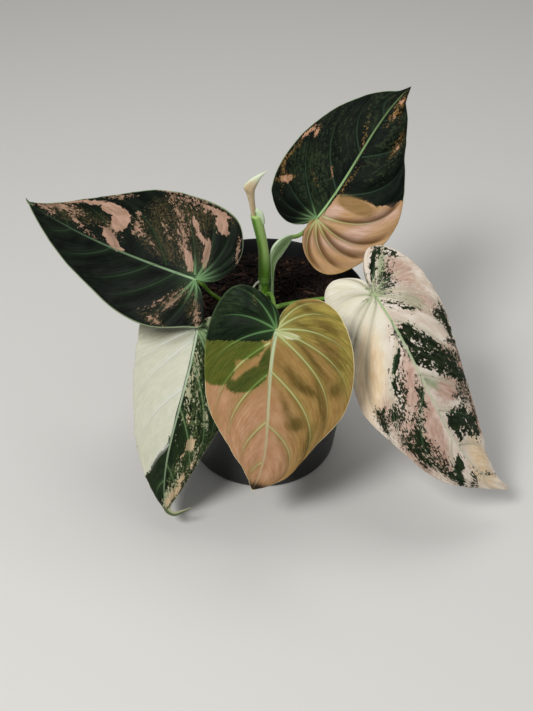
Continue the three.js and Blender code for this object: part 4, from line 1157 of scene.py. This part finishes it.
def make_pot():
    profile = np.array(POT_PROFILE, float)
    fine = []
    for a, b in zip(profile[:-1], profile[1:]):
        steps = max(1, int(np.linalg.norm(b - a) / POT_STEP))
        fine += [a + (b - a) * k / steps for k in range(steps)]
    radius, z = np.array(fine + [profile[-1]]).T[:, :, None]
    angle = turns(POT_SIDES)
    shape = Shape()
    skin = np.stack([radius * np.cos(angle), radius * np.sin(angle), z + 0 * angle], -1)
    shape.grid(skin, closed=True, flip=True)
    pot = shape.piece("nursery_pot", pot_finish(), "pot")
    holes = drain_cutter()
    cut = pot.modifiers.new("holes", "BOOLEAN")
    cut.operation = "DIFFERENCE"
    cut.object = holes
    ready = pot.evaluated_get(bpy.context.evaluated_depsgraph_get())
    mesh = bpy.data.meshes.new_from_object(ready)
    pot.modifiers.clear()
    pot.data = mesh
    mesh.set_sharp_from_angle(angle=math.radians(POT_SHARP_ANGLE))
    bpy.data.objects.remove(holes)


def mix_relief(x, y):
    """Height of the mix's surface above its mean level: lumps and crumbs."""
    flat = np.stack([x, y], -1)
    return 0.75 * waves(flat, 26, 3) + 0.6 * waves(flat, 8, 4) + 0.4 * waves(flat, 3.2, 5)


def shred(rng, shape, chunk, ranges):
    """One piece of bark or fibre lying on the mix: a chunk, or a bent, flattened stick."""
    turn = rng.uniform(0, TURN)
    spread = MIX_RADIUS * 0.93 * math.sqrt(rng.uniform(0.002, 1))
    x, y = spread * math.cos(turn), spread * math.sin(turn)
    heading = rng.uniform(0, TURN)
    length, width, depth = [rng.uniform(least, most) for least, most in ranges]
    bow = rng.uniform(-0.22, 0.22) * length * (0.4 if chunk else 1)
    arch = rng.uniform(0.0, 0.12) * length * (0.3 if chunk else 1)
    lean = rng.uniform(-0.16, 0.16)
    steps, sides = (4, 6) if chunk else (8, 5)
    f = np.linspace(-1, 1, steps + 1)
    px = x + math.cos(heading) * f * length / 2 - math.sin(heading) * bow * (1 - f**2)
    py = y + math.sin(heading) * f * length / 2 + math.cos(heading) * bow * (1 - f**2)
    inside = np.minimum(1, (MIX_RADIUS - 1.2) / np.maximum(np.hypot(px, py), 1))
    px, py = px * inside, py * inside
    pz = MIX_TOP + mix_relief(px, py) + depth * 0.35 + arch * (1 - f**2) + lean * f * length * 0.25
    taper = rng.uniform(0.35, 0.8)
    rough = rng.uniform(0.72, 1.2, (1, sides))

    def ring(g, angle):
        size = (1 - (1 - taper) * np.abs(2 * g - 1) ** 2) * rough
        return width / 2 * size * np.cos(angle), depth / 2 * size * np.sin(angle)

    route = np.stack([px, py, pz], -1)
    shape.tube(route, ring, steps, sides, facing=(0, 0, 1), shade=rng.uniform(0, 1))


def mix_finish():
    m = Finish("potting_mix", roughness=0.85, specular=0.25)
    place, shade = m.place(), m.value("shade")
    lumps = m.noise(place, 420, 5, 0.7)
    dust = m.noise(place, 1700, 3, 0.6)
    ground = m.mix(m.ease(lumps, 0.35, 0.7), "#0b0705", "#1d120c")
    chip = m.mix(m.ease(shade, 0.15, 0.95), "#120a07", "#372117")
    chip = m.mix(m.times(m.ease(shade, 0.86, 0.97), 0.8), chip, "#6a4a32")
    colour = m.mix(0.75, ground, chip)
    colour = m.mix(m.ease(dust, 0.5, 0.75, 0.0, 0.2), colour, "#3c291d")
    return m.finish(colour, [(lumps, 0.6, 0.8), (dust, 0.5, 0.3)])


def make_mix():
    angle = turns(MIX_SIDES)
    radius = MIX_RADIUS * np.linspace(0, 1, MIX_RINGS + 1)[:, None] ** 0.8
    x, y = radius * np.cos(angle), radius * np.sin(angle)
    top = np.stack([x, y, MIX_TOP + mix_relief(x, y)], -1)
    skirt = [np.stack([r * np.cos(angle), r * np.sin(angle), z + 0 * angle], -1)[None] for r, z in MIX_WALL]
    shape = Shape()
    shape.grid(np.concatenate([top] + skirt), closed=True, shade=0.3)
    rng = np.random.default_rng(41)
    for kind, (count, *ranges) in LITTER.items():
        for _ in range(count):
            shred(rng, shape, kind == "bark", ranges)
    shape.piece("mix", mix_finish(), "potting_mix")


# Stage

def make_floor():
    reach = FLOOR_REACH
    mesh = bpy.data.meshes.new("floor")
    corners = [(-reach, -reach, 0), (reach, -reach, 0), (reach, reach, 0), (-reach, reach, 0)]
    mesh.from_pydata(corners, [], [(0, 1, 2, 3)])
    mesh.materials.append(Finish("floor", roughness=0.8).finish("#d4d2cd"))
    add_object("floor", mesh)


def make_lights():
    for name, (place, size, power) in LIGHTS.items():
        data = bpy.data.lights.new(name, "AREA")
        data.energy = power
        data.size = size
        lamp = add_object(name, data)
        lamp.location = place
        x, y, z = np.subtract(LIGHT_TARGET, place)
        lamp.rotation_euler = (math.atan2(math.hypot(x, y), -z), 0, math.atan2(-x, y))
    world = bpy.data.worlds.new("studio")
    world.use_nodes = True
    background = world.node_tree.nodes["Background"]
    background.inputs["Color"].default_value = linear(WORLD_COLOUR)
    background.inputs["Strength"].default_value = WORLD_STRENGTH
    bpy.context.scene.world = world
    bpy.context.scene.view_settings.view_transform = "Standard"


def make_camera():
    data = bpy.data.cameras.new("camera")
    data.lens = CAMERA_LENS
    data.sensor_fit = "VERTICAL"
    data.sensor_height = CAMERA_SENSOR_HEIGHT
    camera = add_object("camera", data)
    camera.location = CAMERA_PLACE
    camera.rotation_euler = (math.radians(CAMERA_TILT), 0, 0)
    bpy.context.scene.camera = camera


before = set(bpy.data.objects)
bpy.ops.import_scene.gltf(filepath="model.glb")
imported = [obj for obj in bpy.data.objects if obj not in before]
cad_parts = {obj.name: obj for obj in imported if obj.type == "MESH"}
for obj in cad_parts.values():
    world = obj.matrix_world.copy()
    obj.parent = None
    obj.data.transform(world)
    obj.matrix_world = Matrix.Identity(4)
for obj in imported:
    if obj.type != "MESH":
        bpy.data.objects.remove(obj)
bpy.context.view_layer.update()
surfaces = make_blades()
make_petioles(surfaces)
make_stem()
make_shoot_stalk()
make_sheath_lip()
make_young_leaf()
make_winged_sheath()
make_root()
make_pot()
make_mix()
make_floor()
make_lights()
make_camera()
